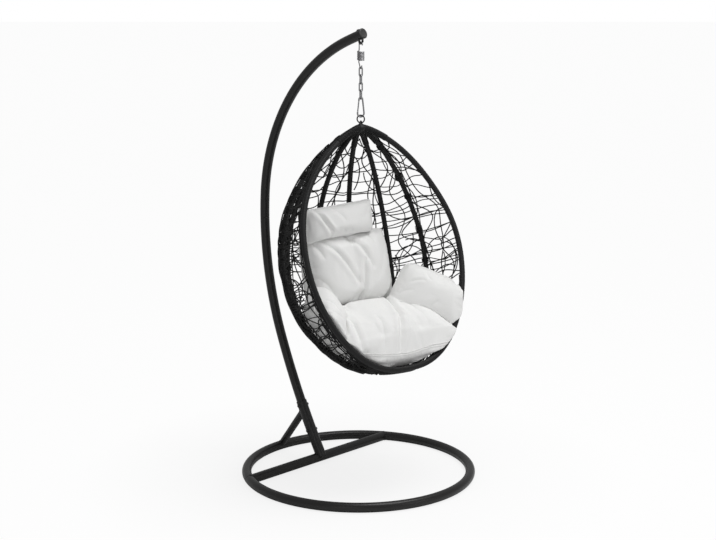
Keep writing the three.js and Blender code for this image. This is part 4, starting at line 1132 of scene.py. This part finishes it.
def make_crown():
    """Tube ends bound together under a welded eye."""
    lines = []
    for index, side in enumerate((-1.0, *RIB_SIDES, 1.0)):
        points = meridian(side, 0.0, 0.06, 40)
        size = (RIM_RADIUS if abs(side) == 1 else RIB_RADIUS) + 0.0006
        lines.append(coil_round(points, size, 0.004, length_of(points) * 0.92, CROWN_PITCH, index * 1.3))
    settle(wires("crown_binding", lines, "wrapped_cane", CROWN_STRAND, 6), "basket", "wrapped_cane")

    def knot(work):
        bmesh.ops.create_uvsphere(work, u_segments=40, v_segments=24, radius=CROWN_KNOT)
        for vert in work.verts:
            wave = math.sin(vert.co.z * 1100 + math.atan2(vert.co.y, vert.co.x))
            vert.co *= 1 + 0.03 * wave
            narrow = 1 - 0.6 * max(vert.co.z, 0) / CROWN_KNOT
            vert.co.x *= narrow
            vert.co.y *= narrow
            vert.co += below(APEX_Z)

    mesh = edited(bpy.data.meshes.new("crown_knot"), knot)
    mesh.shade_smooth()
    settle(add_object("crown_knot", mesh, material("wrapped_cane")), "basket", "wrapped_cane", "crown")
    centre, across = below(CROWN_EYE_TOP - CROWN_EYE_RADIUS), yawed(EYE_RING_YAW + math.pi / 2)
    points = circle(centre, across, UP, CROWN_EYE_RADIUS, 40)
    settle(wires("crown_eye", [points], "black_steel", CROWN_EYE_WIRE, 16, True), "basket", "zinc_steel")


def make_yoke():
    lines = []
    for index, side in enumerate(RIB_SIDES):
        points = meridian(side, 0.985, 1.0, 40)
        whole = length_of(points)
        lines.append(coil_round(points, RIB_RADIUS + 0.0015, whole * 0.12, whole * 0.94, YOKE_PITCH, index))
    settle(wires("yoke_binding", lines, "wrapped_cane", YOKE_STRAND, 6), "basket", "wrapped_cane", "foot_yoke")


# Open weave: strands laid at random
def smooth_noise(rng, count, knots):
    """A smooth random line of values from -1 to 1."""
    values = np.array([rng.uniform(-1, 1) for _ in range(knots + 3)])
    t = np.linspace(0, knots, count)
    i = np.minimum(t.astype(int), knots - 1)
    f = t - i
    p0, p1, p2, p3 = (values[np.minimum(i + k, knots + 2)] for k in range(4))
    return 0.5 * (2 * p1 + (p2 - p0) * f + (2 * p0 - 5 * p1 + 4 * p2 - p3) * f**2
                  + (3 * p1 - p0 - 3 * p2 + p3) * f**3)


def rib_lift(angle, u):
    """How far a strand stands off the surface to pass round the outside of a rib."""
    width = np.maximum(half_width(u), 0.03)
    near = np.min([np.abs(angle - a) for a in RIB_ANGLES], axis=0) * width
    return (RIB_RADIUS + STRAND * 0.9) * np.exp(-((near / 0.018) ** 2))


def weave_strands():
    """Random strands: courses across the ribs, swinging runners, arcs, lashings and side strands on the ribs."""
    rng = random.Random(WEAVE_SEED)
    edge = WEAVE_EDGE
    lines = []

    def keep(u, angle, lift=None):
        u = np.clip(u, 0.03, 0.992)
        angle = np.clip(angle, -edge, edge)
        lines.append(surface(u, angle, rib_lift(angle, u) if lift is None else lift))

    # Courses: all the way across, from one side of the rim to the other
    for i in range(COURSES):
        share = ((i + 0.5 + rng.uniform(-0.3, 0.3)) / COURSES) ** 0.85
        angle = np.linspace(-edge, edge, 160)
        swing = smooth_noise(rng, 160, rng.randint(8, 12)) * 0.02
        tilt = rng.uniform(-0.05, 0.05) * np.sin(angle)
        keep(0.05 + 0.93 * share + swing + tilt, angle)
    # Runners: down the basket, swinging from side to side
    for i in range(RUNNERS):
        share = (i + 0.5 + rng.uniform(-0.25, 0.25)) / RUNNERS
        u = np.linspace(0.035, 0.985, 240)
        swing = smooth_noise(rng, 240, rng.randint(9, 12)) * 0.07 / np.maximum(half_width(u), 0.09)
        keep(u, -edge + 2 * edge * share + swing)
    # Arcs: parts of circles from 50 to 115 mm in radius, kept where they stay inside the rim
    for i in range(ARCS):
        middle, height = rng.uniform(-edge, edge), 0.1 + 0.84 * math.sqrt(rng.random())
        radius, start, span = rng.uniform(0.05, 0.115), rng.uniform(0, 2 * math.pi), rng.uniform(2.2, 4.2)
        turn = np.linspace(start, start + span, 70)
        u = height + radius * np.sin(turn) / POD_LENGTH
        angle = middle + radius * np.cos(turn) / np.maximum(half_width(np.clip(u, 0.02, 0.98)), 0.12)
        if ((np.abs(angle) < edge) & (u > 0.04) & (u < 0.985)).all():
            keep(u, angle)
    # Side strands: laid down the outside of the ribs and of the rim's back
    for angle_at in (-edge, RIB_ANGLES[0], RIB_ANGLES[1], RIB_ANGLES[-1], edge):
        for k in range(3):
            u = np.linspace(0.06, 0.97, 220)
            off = (k - 1) * 0.008 + smooth_noise(rng, 220, 16) * 0.009
            lift = RIB_RADIUS + STRAND * (1.2 + smooth_noise(rng, 220, 24))
            keep(u, angle_at + off / np.maximum(half_width(u), 0.1), lift * (1.0 if abs(angle_at) < edge else 0.6))
    # Dense strands along the back of the rim, low on both sides
    for sign in (-1, 1):
        for k in range(6):
            u = np.linspace(0.66 + 0.02 * k, 0.985, 110)
            off = 0.005 + 0.0075 * k + smooth_noise(rng, 110, 8) * 0.005
            keep(u, sign * (edge - off / np.maximum(half_width(u), 0.1)), STRAND * (k % 2))
    # Lashings: short tight coils round the ribs
    for side, lashings in zip(RIB_SIDES, RIB_LASHINGS):
        points = meridian(side, 0.05, 0.97, 160)
        whole = length_of(points)
        for k in range(lashings):
            start = whole * (k + rng.uniform(0.1, 0.7)) / lashings
            length = rng.uniform(0.014, 0.03)
            size = RIB_RADIUS + STRAND * rng.uniform(0.8, 1.4)
            lines.append(coil_round(points, size, start, start + length, STRAND * 2.1, rng.uniform(0, 6), 9))
    return lines


def make_weave():
    """Every third strand makes a piece, and each piece stands for the panels of its gores."""
    strands = [[Vector(p) for p in points] for points in weave_strands()]
    shares = (("first", GORE_NAMES[:3]), ("second", GORE_NAMES[3:4]), ("third", GORE_NAMES[4:]))
    for index, (share, gores) in enumerate(shares):
        piece = wires(f"weave_{share}_strands", strands[index::3], "weave_strand", STRAND, 6, flatness=FLATTENED)
        nodes = [f"weave_{gore}_{band}" for gore in gores for band in BAND_NAMES]
        settle(piece, "basket", "weave_strand", *nodes)


# Cushions: places as shares of the basket's half width, length and depth, the rest in metres and degrees.
# A fold is (x0, y0, x1, y1, bend, depth, width) on the cushion's face.
PLAIN_PAD = {"turn": 0, "droop": 0, "mirror": 1, "fill": 0.7, "seams": (0.0,), "rise": 0.0, "spill": None}
ARM_PAD = {**PLAIN_PAD, "lean": 64, "turn": 54, "droop": 20, "bulge": 0.046, "cap": 0.024}
PADS = {
    "seat_cushion": {
        **PLAIN_PAD, "name": "seat_pad", "place": (0, 0.855, 0.42), "lean": 11, "puff": 0.006, "bulge": 0.022,
        "cap": 0.024, "seams": (0.016, 0.007), "rise": 0.03, "spill": (0.92, 0.09, 0.03),
        "folds": [
            (0.150, 0.190, -0.035, -0.195, 0.014, 0.016, 0.010), (-0.150, 0.07, -0.232, -0.175, -0.01, 0.009, 0.01),
            (-0.195, 0.06, -0.262, -0.10, 0.008, 0.007, 0.008), (-0.09, 0.18, -0.16, 0.02, 0.01, 0.004, 0.013),
            (0.205, 0.13, 0.155, -0.14, -0.012, 0.004, 0.014), (0.03, -0.04, 0.085, -0.19, 0.006, 0.003, 0.01),
            (-0.06, -0.03, -0.12, -0.19, 0.006, 0.004, 0.01), (0.10, 0.02, 0.19, -0.06, 0.008, 0.002, 0.012),
        ],
    },
    "right_arm_cushion": {
        **ARM_PAD, "name": "right_arm_pad", "place": (0.73, 0.735, 0.265), "puff": 0.009,
        "spill": (0.88, 0.1, 0.024),
        "folds": [
            (-0.115, 0.015, -0.06, 0.045, 0.004, 0.002, 0.006), (-0.075, 0.085, -0.035, 0.055, -0.004, 0.0025, 0.006),
            (-0.15, -0.06, -0.09, -0.015, 0.006, 0.0015, 0.01), (0.0, -0.09, 0.03, -0.02, 0.006, 0.002, 0.012),
        ],
    },
    "left_arm_cushion": {
        **ARM_PAD, "name": "left_arm_pad", "place": (0.76, 0.78, 0.27), "mirror": -1, "puff": 0.006,
        "spill": (0.87, 0.1, 0.012),
        "folds": [
            (0.05, 0.10, 0.02, 0.03, 0.004, 0.004, 0.008), (-0.02, 0.09, 0.0, 0.02, -0.004, 0.003, 0.008),
            (0.11, 0.06, 0.05, -0.02, 0.006, 0.003, 0.01),
        ],
    },
    "back_cushion": {
        **PLAIN_PAD, "name": "back_pad", "place": (-0.029, 0.542, 0.73), "lean": 76, "puff": 0.002, "bulge": 0.008,
        "cap": 0.022,
        "folds": [
            (-0.025, 0.165, 0.085, -0.005, 0.014, 0.009, 0.011), (-0.150, 0.145, 0.005, -0.065, 0.008, 0.009, 0.010),
            (0.050, 0.035, 0.006, -0.170, 0.004, 0.013, 0.010), (0.205, -0.095, 0.135, -0.165, 0.006, 0.008, 0.010),
            (-0.205, 0.150, -0.160, 0.060, 0.006, 0.005, 0.010), (0.16, 0.06, 0.11, -0.06, 0.006, 0.003, 0.013),
            (0.10, 0.165, 0.125, 0.09, 0.004, 0.004, 0.010), (-0.20, -0.02, -0.12, -0.13, 0.008, 0.003, 0.012),
        ],
    },
    "headrest_pillow": {
        **PLAIN_PAD, "name": "head_pad", "place": (-0.125, 0.344, 0.553), "lean": 80, "puff": 0.001, "bulge": 0.008,
        "cap": 0.016, "fill": 0.6,
        "folds": [
            (-0.142, 0.060, -0.070, -0.068, 0.004, 0.008, 0.008), (-0.118, 0.030, -0.050, -0.060, -0.004, 0.007, 0.007),
            (-0.055, 0.060, 0.0, 0.0, 0.004, 0.003, 0.009), (0.15, 0.06, 0.10, 0.0, 0.004, 0.002, 0.01),
        ],
    },
}
SEAT_SPREAD = 0.018
ARM_GROWTH = 1.06
ARM_SLIP = 0.02
ARM_SHIFT = 0.006
HEAD_RAKE = 0.05
PIPING = 0.0021
VOXEL, QUICK_VOXEL = 0.006, 0.009
CLOTH = {
    "quality": 4, "mass": 0.2, "tension_stiffness": 12, "compression_stiffness": 12, "shear_stiffness": 6,
    "bending_stiffness": 0.4, "use_pressure": True, "uniform_pressure_force": 4,
}
CLOTH_FRAMES = 20
PAD_SUNK = 0.003
# Room left between a pad and the rim's axis, the weave, and the front plane past its bulge
RIM_ROOM, WEAVE_ROOM, FRONT_ROOM = 0.003, 0.006, 0.01
PAD_GAP = 0.0012


def pad_pose(pad):
    """Where a cushion sits: its own x across, y along and z out of its face."""
    mirror = pad["mirror"]
    across, down, back = pad["place"]
    heart = np.array([mirror * across * POD_HALF_WIDTH, 0, APEX_Z])
    heart = heart + down * POD_LENGTH * DOWN_RIM + back * POD_DEPTH * INTO_BACK
    pose = Matrix.Translation(heart)
    pose = pose @ Matrix.Rotation(-mirror * math.radians(pad["turn"]), 4, "Z")
    pose = pose @ Matrix.Rotation(mirror * math.radians(pad["droop"]), 4, "Y")
    return POD_TO_WORLD @ pose @ Matrix.Rotation(math.radians(pad["lean"]), 4, "X")


def read_vectors(items, field):
    flat = np.empty(len(items) * 3)
    items.foreach_get(field, flat)
    return flat.reshape(-1, 3)


def coordinates(mesh):
    return read_vectors(mesh.vertices, "co")


def normals(mesh):
    return read_vectors(mesh.vertex_normals, "vector")


def set_coordinates(mesh, points):
    mesh.vertices.foreach_set("co", np.asarray(points, float).ravel())
    mesh.update()


def modified(piece, kind, **settings):
    """Adds a modifier to a piece and makes its result the piece's own mesh."""
    modifier = piece.modifiers.new(kind.title(), kind)
    for key, value in settings.items():
        setattr(modifier, key, value)
    depsgraph = bpy.context.evaluated_depsgraph_get()
    fresh = bpy.data.meshes.new_from_object(piece.evaluated_get(depsgraph))
    old = piece.data
    piece.modifiers.clear()
    piece.data = fresh
    bpy.data.meshes.remove(old)


def blown_up(piece, start, outward, cap):
    """The corners of a piece after cloth has swollen it: half its sliding, and its swelling capped."""
    cloth = piece.modifiers.new("Cloth", "CLOTH")
    for key, value in CLOTH.items():
        setattr(cloth.settings, key, value)
    cloth.settings.effector_weights.gravity = 0
    scene = bpy.context.scene
    for number in range(1, CLOTH_FRAMES + 1):
        scene.frame_set(number)
    depsgraph = bpy.context.evaluated_depsgraph_get()
    shift = coordinates(piece.evaluated_get(depsgraph).data) - start
    lift = np.einsum("ij,ij->i", shift, outward)
    kept = np.clip(lift, -PAD_SUNK, cap)
    shift = (shift - outward * lift[:, None]) * 0.5 + outward * kept[:, None]
    piece.modifiers.clear()
    scene.frame_set(1)
    return start + shift


def stuffed(node, pad, quick):
    """A cushion: the node's form, welded, remeshed, softened, and blown up by cloth in a full run."""
    mesh = NODES[node].data.copy()
    mesh.name = pad["name"]
    piece = add_object(pad["name"], mesh)
    edited(mesh, lambda work: bmesh.ops.remove_doubles(work, verts=work.verts, dist=1e-5))
    voxel = QUICK_VOXEL if quick else VOXEL
    modified(piece, "REMESH", mode="VOXEL", voxel_size=voxel, use_smooth_shade=True)
    modified(piece, "SMOOTH", factor=0.5, iterations=3)
    outward = normals(piece.data)
    start = coordinates(piece.data) + outward * pad["puff"]
    set_coordinates(piece.data, start)
    if not quick:
        set_coordinates(piece.data, blown_up(piece, start, outward, pad["cap"]))
    modified(piece, "SMOOTH", factor=0.5, iterations=2)
    return piece


def inside_basket(points, heart, bulge):
    """Points drawn back towards the cushion's heart until they are clear of the basket's tubes."""
    margins = (RIM_RADIUS + RIM_ROOM, WEAVE_ROOM, bulge + FRONT_ROOM)
    out = basket_share(points, *margins) > 1
    low, high = np.zeros(len(points)), np.ones(len(points))
    for _ in range(18):
        middle = (low + high) / 2
        fits = basket_share(heart + (points - heart) * middle[:, None], *margins) <= 1
        low = np.where(fits, middle, low)
        high = np.where(fits, high, middle)
    return heart + (points - heart) * np.where(out, low, 1.0)[:, None]


def spilled(points, mirror, spill):
    """The front of a pad, pressed forward and then out over the rim."""
    middle, reach, most = spill
    local, down, aside = in_basket(points)
    aside = mirror * aside / half_width(np.clip(down, 0.01, 0.99))
    near = eased(np.clip((aside - 0.55) / 0.3, 0, 1)) * np.exp(-(((down - middle) / reach) ** 2))
    front = eased(np.clip((0.05 - local @ INTO_BACK) / 0.06, 0, 1))
    local = local - (0.7 * most * front * near)[:, None] * INTO_BACK
    ahead = eased(np.clip((-(local @ INTO_BACK) - RIM_RADIUS - 0.002) / 0.012, 0, 1))
    local[:, 0] += mirror * most * ahead * near
    return to_world(local + APEX)


def reshaped(points, pose, change):
    """Points after a function has changed them in the cushion's own directions."""
    matrix = np.array(pose)
    local = (points - matrix[:3, 3]) @ matrix[:3, :3]
    change(local)
    return moved(local, matrix)


def grow(local):
    """Makes the arm pad larger along its face."""
    local[:, :2] *= ARM_GROWTH


def spread(local):
    """Presses the seat pad wider towards its front corners."""
    side = np.clip((np.abs(local[:, 0]) - 0.1) / 0.15, 0, 1)
    front = np.clip((0.12 - local[:, 1]) / 0.12, 0, 1)
    local[:, 0] += np.sign(local[:, 0]) * SEAT_SPREAD * eased(side) * eased(front)


def rake(local):
    """Hangs the head pad a little higher on the right."""
    local[:, 1] += HEAD_RAKE * local[:, 0]


def folded(points, outward, pose, folds):
    """Folds pressed into the face of a cushion: each a bent line with a hollow and two soft banks."""
    matrix = np.array(pose)
    local = (points - matrix[:3, 3]) @ matrix[:3, :3]
    facing = np.clip((outward @ matrix[:3, :3])[:, 2] * 2.5, 0, 1)
    push = np.zeros(len(points))
    for x0, y0, x1, y1, bend, deep, wide in folds:
        way = np.array([x1 - x0, y1 - y0])
        reach = math.hypot(*way)
        way = way / reach
        off = local[:, :2] - np.array([x0, y0])
        along = off @ way / reach
        inside = np.clip(along, 0, 1)
        aside = off @ np.array([-way[1], way[0]]) - bend * np.sin(math.pi * inside)
        past = (along - inside) * reach
        gap = np.hypot(aside, past * 1.5)
        fade = 0.25 + 0.75 * np.sin(math.pi * inside) ** 0.5
        hollow = np.exp(-((gap / wide) ** 2)) + 0.6 * np.exp(-((gap / (wide * 0.35)) ** 2))
        bank = 0.4 * np.exp(-(((gap - 2.2 * wide) / (1.2 * wide)) ** 2))
        push += deep * fade * (bank - 0.65 * hollow)
    return points + outward * (push * facing)[:, None]


def make_piping(tree, pose, pad):
    """Welts sewn round a cushion, each found by looking in at its side from all round."""
    turned = pose.to_3x3()
    lines = []
    for step in (0.0, *pad["seams"][1:]):
        line = []
        for i in range(160):
            angle = 2 * math.pi * i / 160
            out = Vector((math.cos(angle), math.sin(angle), 0))
            level = pad["seams"][0] - step + pad["rise"] * out.x**2
            hit, normal, _, _ = tree.ray_cast(pose @ (out + Vector((0, 0, level))), -(turned @ out))
            if hit is not None:
                line.append(hit + normal * PIPING * 0.35)
        lines.append(line)
    piping = wires(f"{pad['name']}_piping", lines, "cushion_cloth", PIPING, 8, True)
    settle(piping, "basket", "cushion_cloth")


def pushed_out(points, others):
    """Points moved out of the neighbouring cushions."""
    made = points.copy()
    for tree in others:
        for index, point in enumerate(made):
            near, normal, _, _ = tree.find_nearest(Vector(point), 0.06)
            if near is not None and (Vector(point) - near).dot(normal) < PAD_GAP:
                made[index] = np.array(near + normal * PAD_GAP)
    return made


def make_cushions():
    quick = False
    done = []
    for node, pad in PADS.items():
        piece = stuffed(node, pad, quick)
        pose = pad_pose(pad)
        points = coordinates(piece.data)
        if node == "seat_cushion":
            points = reshaped(points, pose, spread)
        if node == "right_arm_cushion":
            points = reshaped(points, pose, grow)
            points = to_world(to_pod(points) + DOWN_RIM * ARM_SLIP + np.array([ARM_SHIFT, 0, 0]))
        points = inside_basket(points, np.array(pose.translation), pad["bulge"])
        if pad["spill"]:
            points = spilled(points, pad["mirror"], pad["spill"])
        if node == "headrest_pillow":
            points = reshaped(points, pose, rake)
        set_coordinates(piece.data, pushed_out(points, done))
        modified(piece, "SMOOTH", factor=0.5, iterations=1)
        piece.data.materials.clear()
        piece.data.materials.append(material("cushion_cloth"))
        modified(piece, "SUBSURF", levels=1, render_levels=1)
        set_coordinates(piece.data, folded(coordinates(piece.data), normals(piece.data), pose, pad["folds"]))
        piece.data.shade_smooth()
        bpy.context.view_layer.update()
        done.append(BVHTree.FromObject(piece, bpy.context.evaluated_depsgraph_get()))
        make_piping(done[-1], pose, pad)
        settle(piece, "basket", "cushion_cloth", node)


# Stage
CAMERA_AZIMUTH = math.radians(-46.8)
CAMERA_DISTANCE = 6.5
CAMERA_HEIGHT = 2.2434
CAMERA_PITCH = math.radians(11.42)
CAMERA_YAW_OFFSET = -0.000347
FOCAL_PIXELS = 1515.37
PHOTO_WIDTH = 716
SENSOR = 36.0
VIEW_REACH = 60
FLOOR_LEVEL = -0.0012
# Floor glow for the camera, and how much less it glows within reach of the chair: painted shade round the chair,
# together with the real shadow it lets show
FLOOR_GLOW, SHADE_GLOW_LOSS, SHADE_GLOW_REACH = 0.95, 0.15, 1.25
AMBIENT = 0.43
WHITE = (1, 1, 1, 1)

# Area lights: name, place, what it faces, size in metres and watts
LIGHTS = (
    ("overhead_softbox", (0.5, -1.0, 4.2), (0, 0, 0.8), (2.2, 2.2), 78),
    ("front_softbox", (0.9, -5.4, 2.3), (0, 0, 0.9), (2.4, 2.4), 21),
    ("side_strip", (-4.6, -3.0, 1.9), (0, 0, 1.0), (0.4, 2.8), 11),
)


def make_camera():
    scene = bpy.context.scene
    scene.view_settings.view_transform = "Standard"
    data = bpy.data.cameras.new("photo_camera")
    data.sensor_width = SENSOR
    data.lens = FOCAL_PIXELS * SENSOR / PHOTO_WIDTH
    data.clip_end = VIEW_REACH
    camera = add_object("photo_camera", data)
    camera.location = (
        math.sin(CAMERA_AZIMUTH) * CAMERA_DISTANCE,
        RING_Y - math.cos(CAMERA_AZIMUTH) * CAMERA_DISTANCE,
        CAMERA_HEIGHT,
    )
    camera.rotation_euler = Euler((math.pi / 2 - CAMERA_PITCH, 0, CAMERA_AZIMUTH - CAMERA_YAW_OFFSET))
    scene.camera = camera


def make_floor():
    """A wide floor that glows for the camera alone, a little less near the chair."""
    tree = Finish("studio_floor", (0.9, 0.9, 0.9))
    tree.fill(tree.shader, {"Base Color": (0.95, 0.95, 0.95, 1), "Roughness": 0.9, "Specular IOR Level": 0.0})
    camera_ray = tree.node("ShaderNodeLightPath", output="Is Camera Ray")
    glow = tree.node("ShaderNodeEmission", {"Color": WHITE, "Strength": 1.0})
    from_middle = tree.node("ShaderNodeVectorMath", {0: tree.place}, 1, operation="LENGTH")
    # Less glow near the middle paints shade round the chair and lets the real shadow show more
    near = (SHADE_GLOW_REACH - from_middle).clamped()
    share, matt = camera_ray * (FLOOR_GLOW - SHADE_GLOW_LOSS * near), Socket(tree, tree.shader.outputs[0])
    mixed = tree.node("ShaderNodeMixShader", {0: share, 1: matt, 2: glow})
    tree.fill(tree.tree.nodes["Material Output"], {"Surface": mixed})
    mesh = bpy.data.meshes.new("studio_floor")
    corners = [(x * VIEW_REACH, y * VIEW_REACH, FLOOR_LEVEL) for x, y in ((-1, -1), (1, -1), (1, 1), (-1, 1))]
    mesh.from_pydata(corners, [], [(0, 1, 2, 3)])
    add_object("studio_floor", mesh, tree.material)


def make_light():
    """A dim world that is white where the camera sees it, and the area lights."""
    world = bpy.data.worlds.new("studio")
    world.use_nodes = True
    bpy.context.scene.world = world
    tree = Tree(world.node_tree)
    strength = AMBIENT + (1 - AMBIENT) * tree.node("ShaderNodeLightPath", output="Is Camera Ray")
    tree.fill(tree.tree.nodes["Background"], {"Color": WHITE, "Strength": strength})
    for name, place, aim, size, watts in LIGHTS:
        data = bpy.data.lights.new(name, "AREA")
        data.shape = "RECTANGLE"
        data.size, data.size_y = size
        data.energy = watts
        lamp = add_object(name, data)
        lamp.location = place
        lamp.rotation_euler = (Vector(aim) - Vector(place)).to_track_quat("-Z", "Y").to_euler()


# Add-on
def colour_field(name, note, *colour):
    return FloatVectorProperty(name=name, description=note, subtype="COLOR", default=colour)


class PodChairColours(bpy.types.PropertyGroup):
    """Colours of the finishes."""

    frame: colour_field("Frame", "Powder coat of the stand", 0.0085, 0.0083, 0.008)
    cap: colour_field("Cap", "Plastic cap", 0.022, 0.022, 0.022)
    zinc: colour_field("Zinc", "Zinc plate of spring, chain and snap hook", 0.36, 0.36, 0.37)
    cane: colour_field("Cane", "Resin cane round the tubes", 0.0075, 0.0075, 0.0078)
    strand: colour_field("Strand", "Resin cane of the weave", 0.0045, 0.0045, 0.0047)
    cloth: colour_field("Cloth", "Canvas of the cushions", 0.84, 0.84, 0.83)


def operator(name, label, note, *steps):
    """An operator class that runs these steps in turn."""

    def execute(self, context):
        for step in steps:
            step()
        return {"FINISHED"}

    return type(f"POD_OT_{name}", (bpy.types.Operator,), {
        "__doc__": note, "bl_idname": f"pod.{name}", "bl_label": label, "execute": execute,
    })


OPERATORS = [
    operator("base", "Base", "Ring arcs, cross bar, strut and their welds", make_base),
    operator("post", "Post", "Post with its bolts", make_post),
    operator("pole", "Pole", "Curved pole in two lengths with its cap", make_pole),
    operator("hanging_set", "Hanging set", "Eye, spring, chain, snap hook and ring",
             make_loop, make_spring, make_chain, make_hook, make_eye_ring),
    operator("tubes", "Basket tubes", "Wrapped rim, ribs, crown and yoke", make_rim, make_ribs, make_crown, make_yoke),
    operator("weave", "Weave", "Random strands between the tubes", make_weave),
    operator("cushions", "Cushions", "Seat, back, head and arm cushions", make_cushions),
    operator("stage", "Stage", "Camera, floor and light", make_camera, make_floor, make_light),
]


class POD_PT_panel(bpy.types.Panel):
    """Steps of the hanging pod chair"""

    bl_label = "Pod Chair"
    bl_space_type = "VIEW_3D"
    bl_region_type = "UI"
    bl_category = "Pod Chair"

    def draw(self, context):
        for field in PodChairColours.__annotations__:
            self.layout.prop(context.scene.pod_chair_colours, field)
        for each in OPERATORS:
            self.layout.operator(each.bl_idname)


CLASSES = [PodChairColours, *OPERATORS, POD_PT_panel]


def register():
    for each in CLASSES:
        bpy.utils.register_class(each)
    bpy.types.Scene.pod_chair_colours = PointerProperty(type=PodChairColours)


def unregister():
    del bpy.types.Scene.pod_chair_colours
    for each in reversed(CLASSES):
        bpy.utils.unregister_class(each)


def main():
    register()
    for each in OPERATORS:
        name = each.bl_idname.split(".")[1]
        getattr(bpy.ops.pod, name)()


if __name__ == "__main__":
    main()
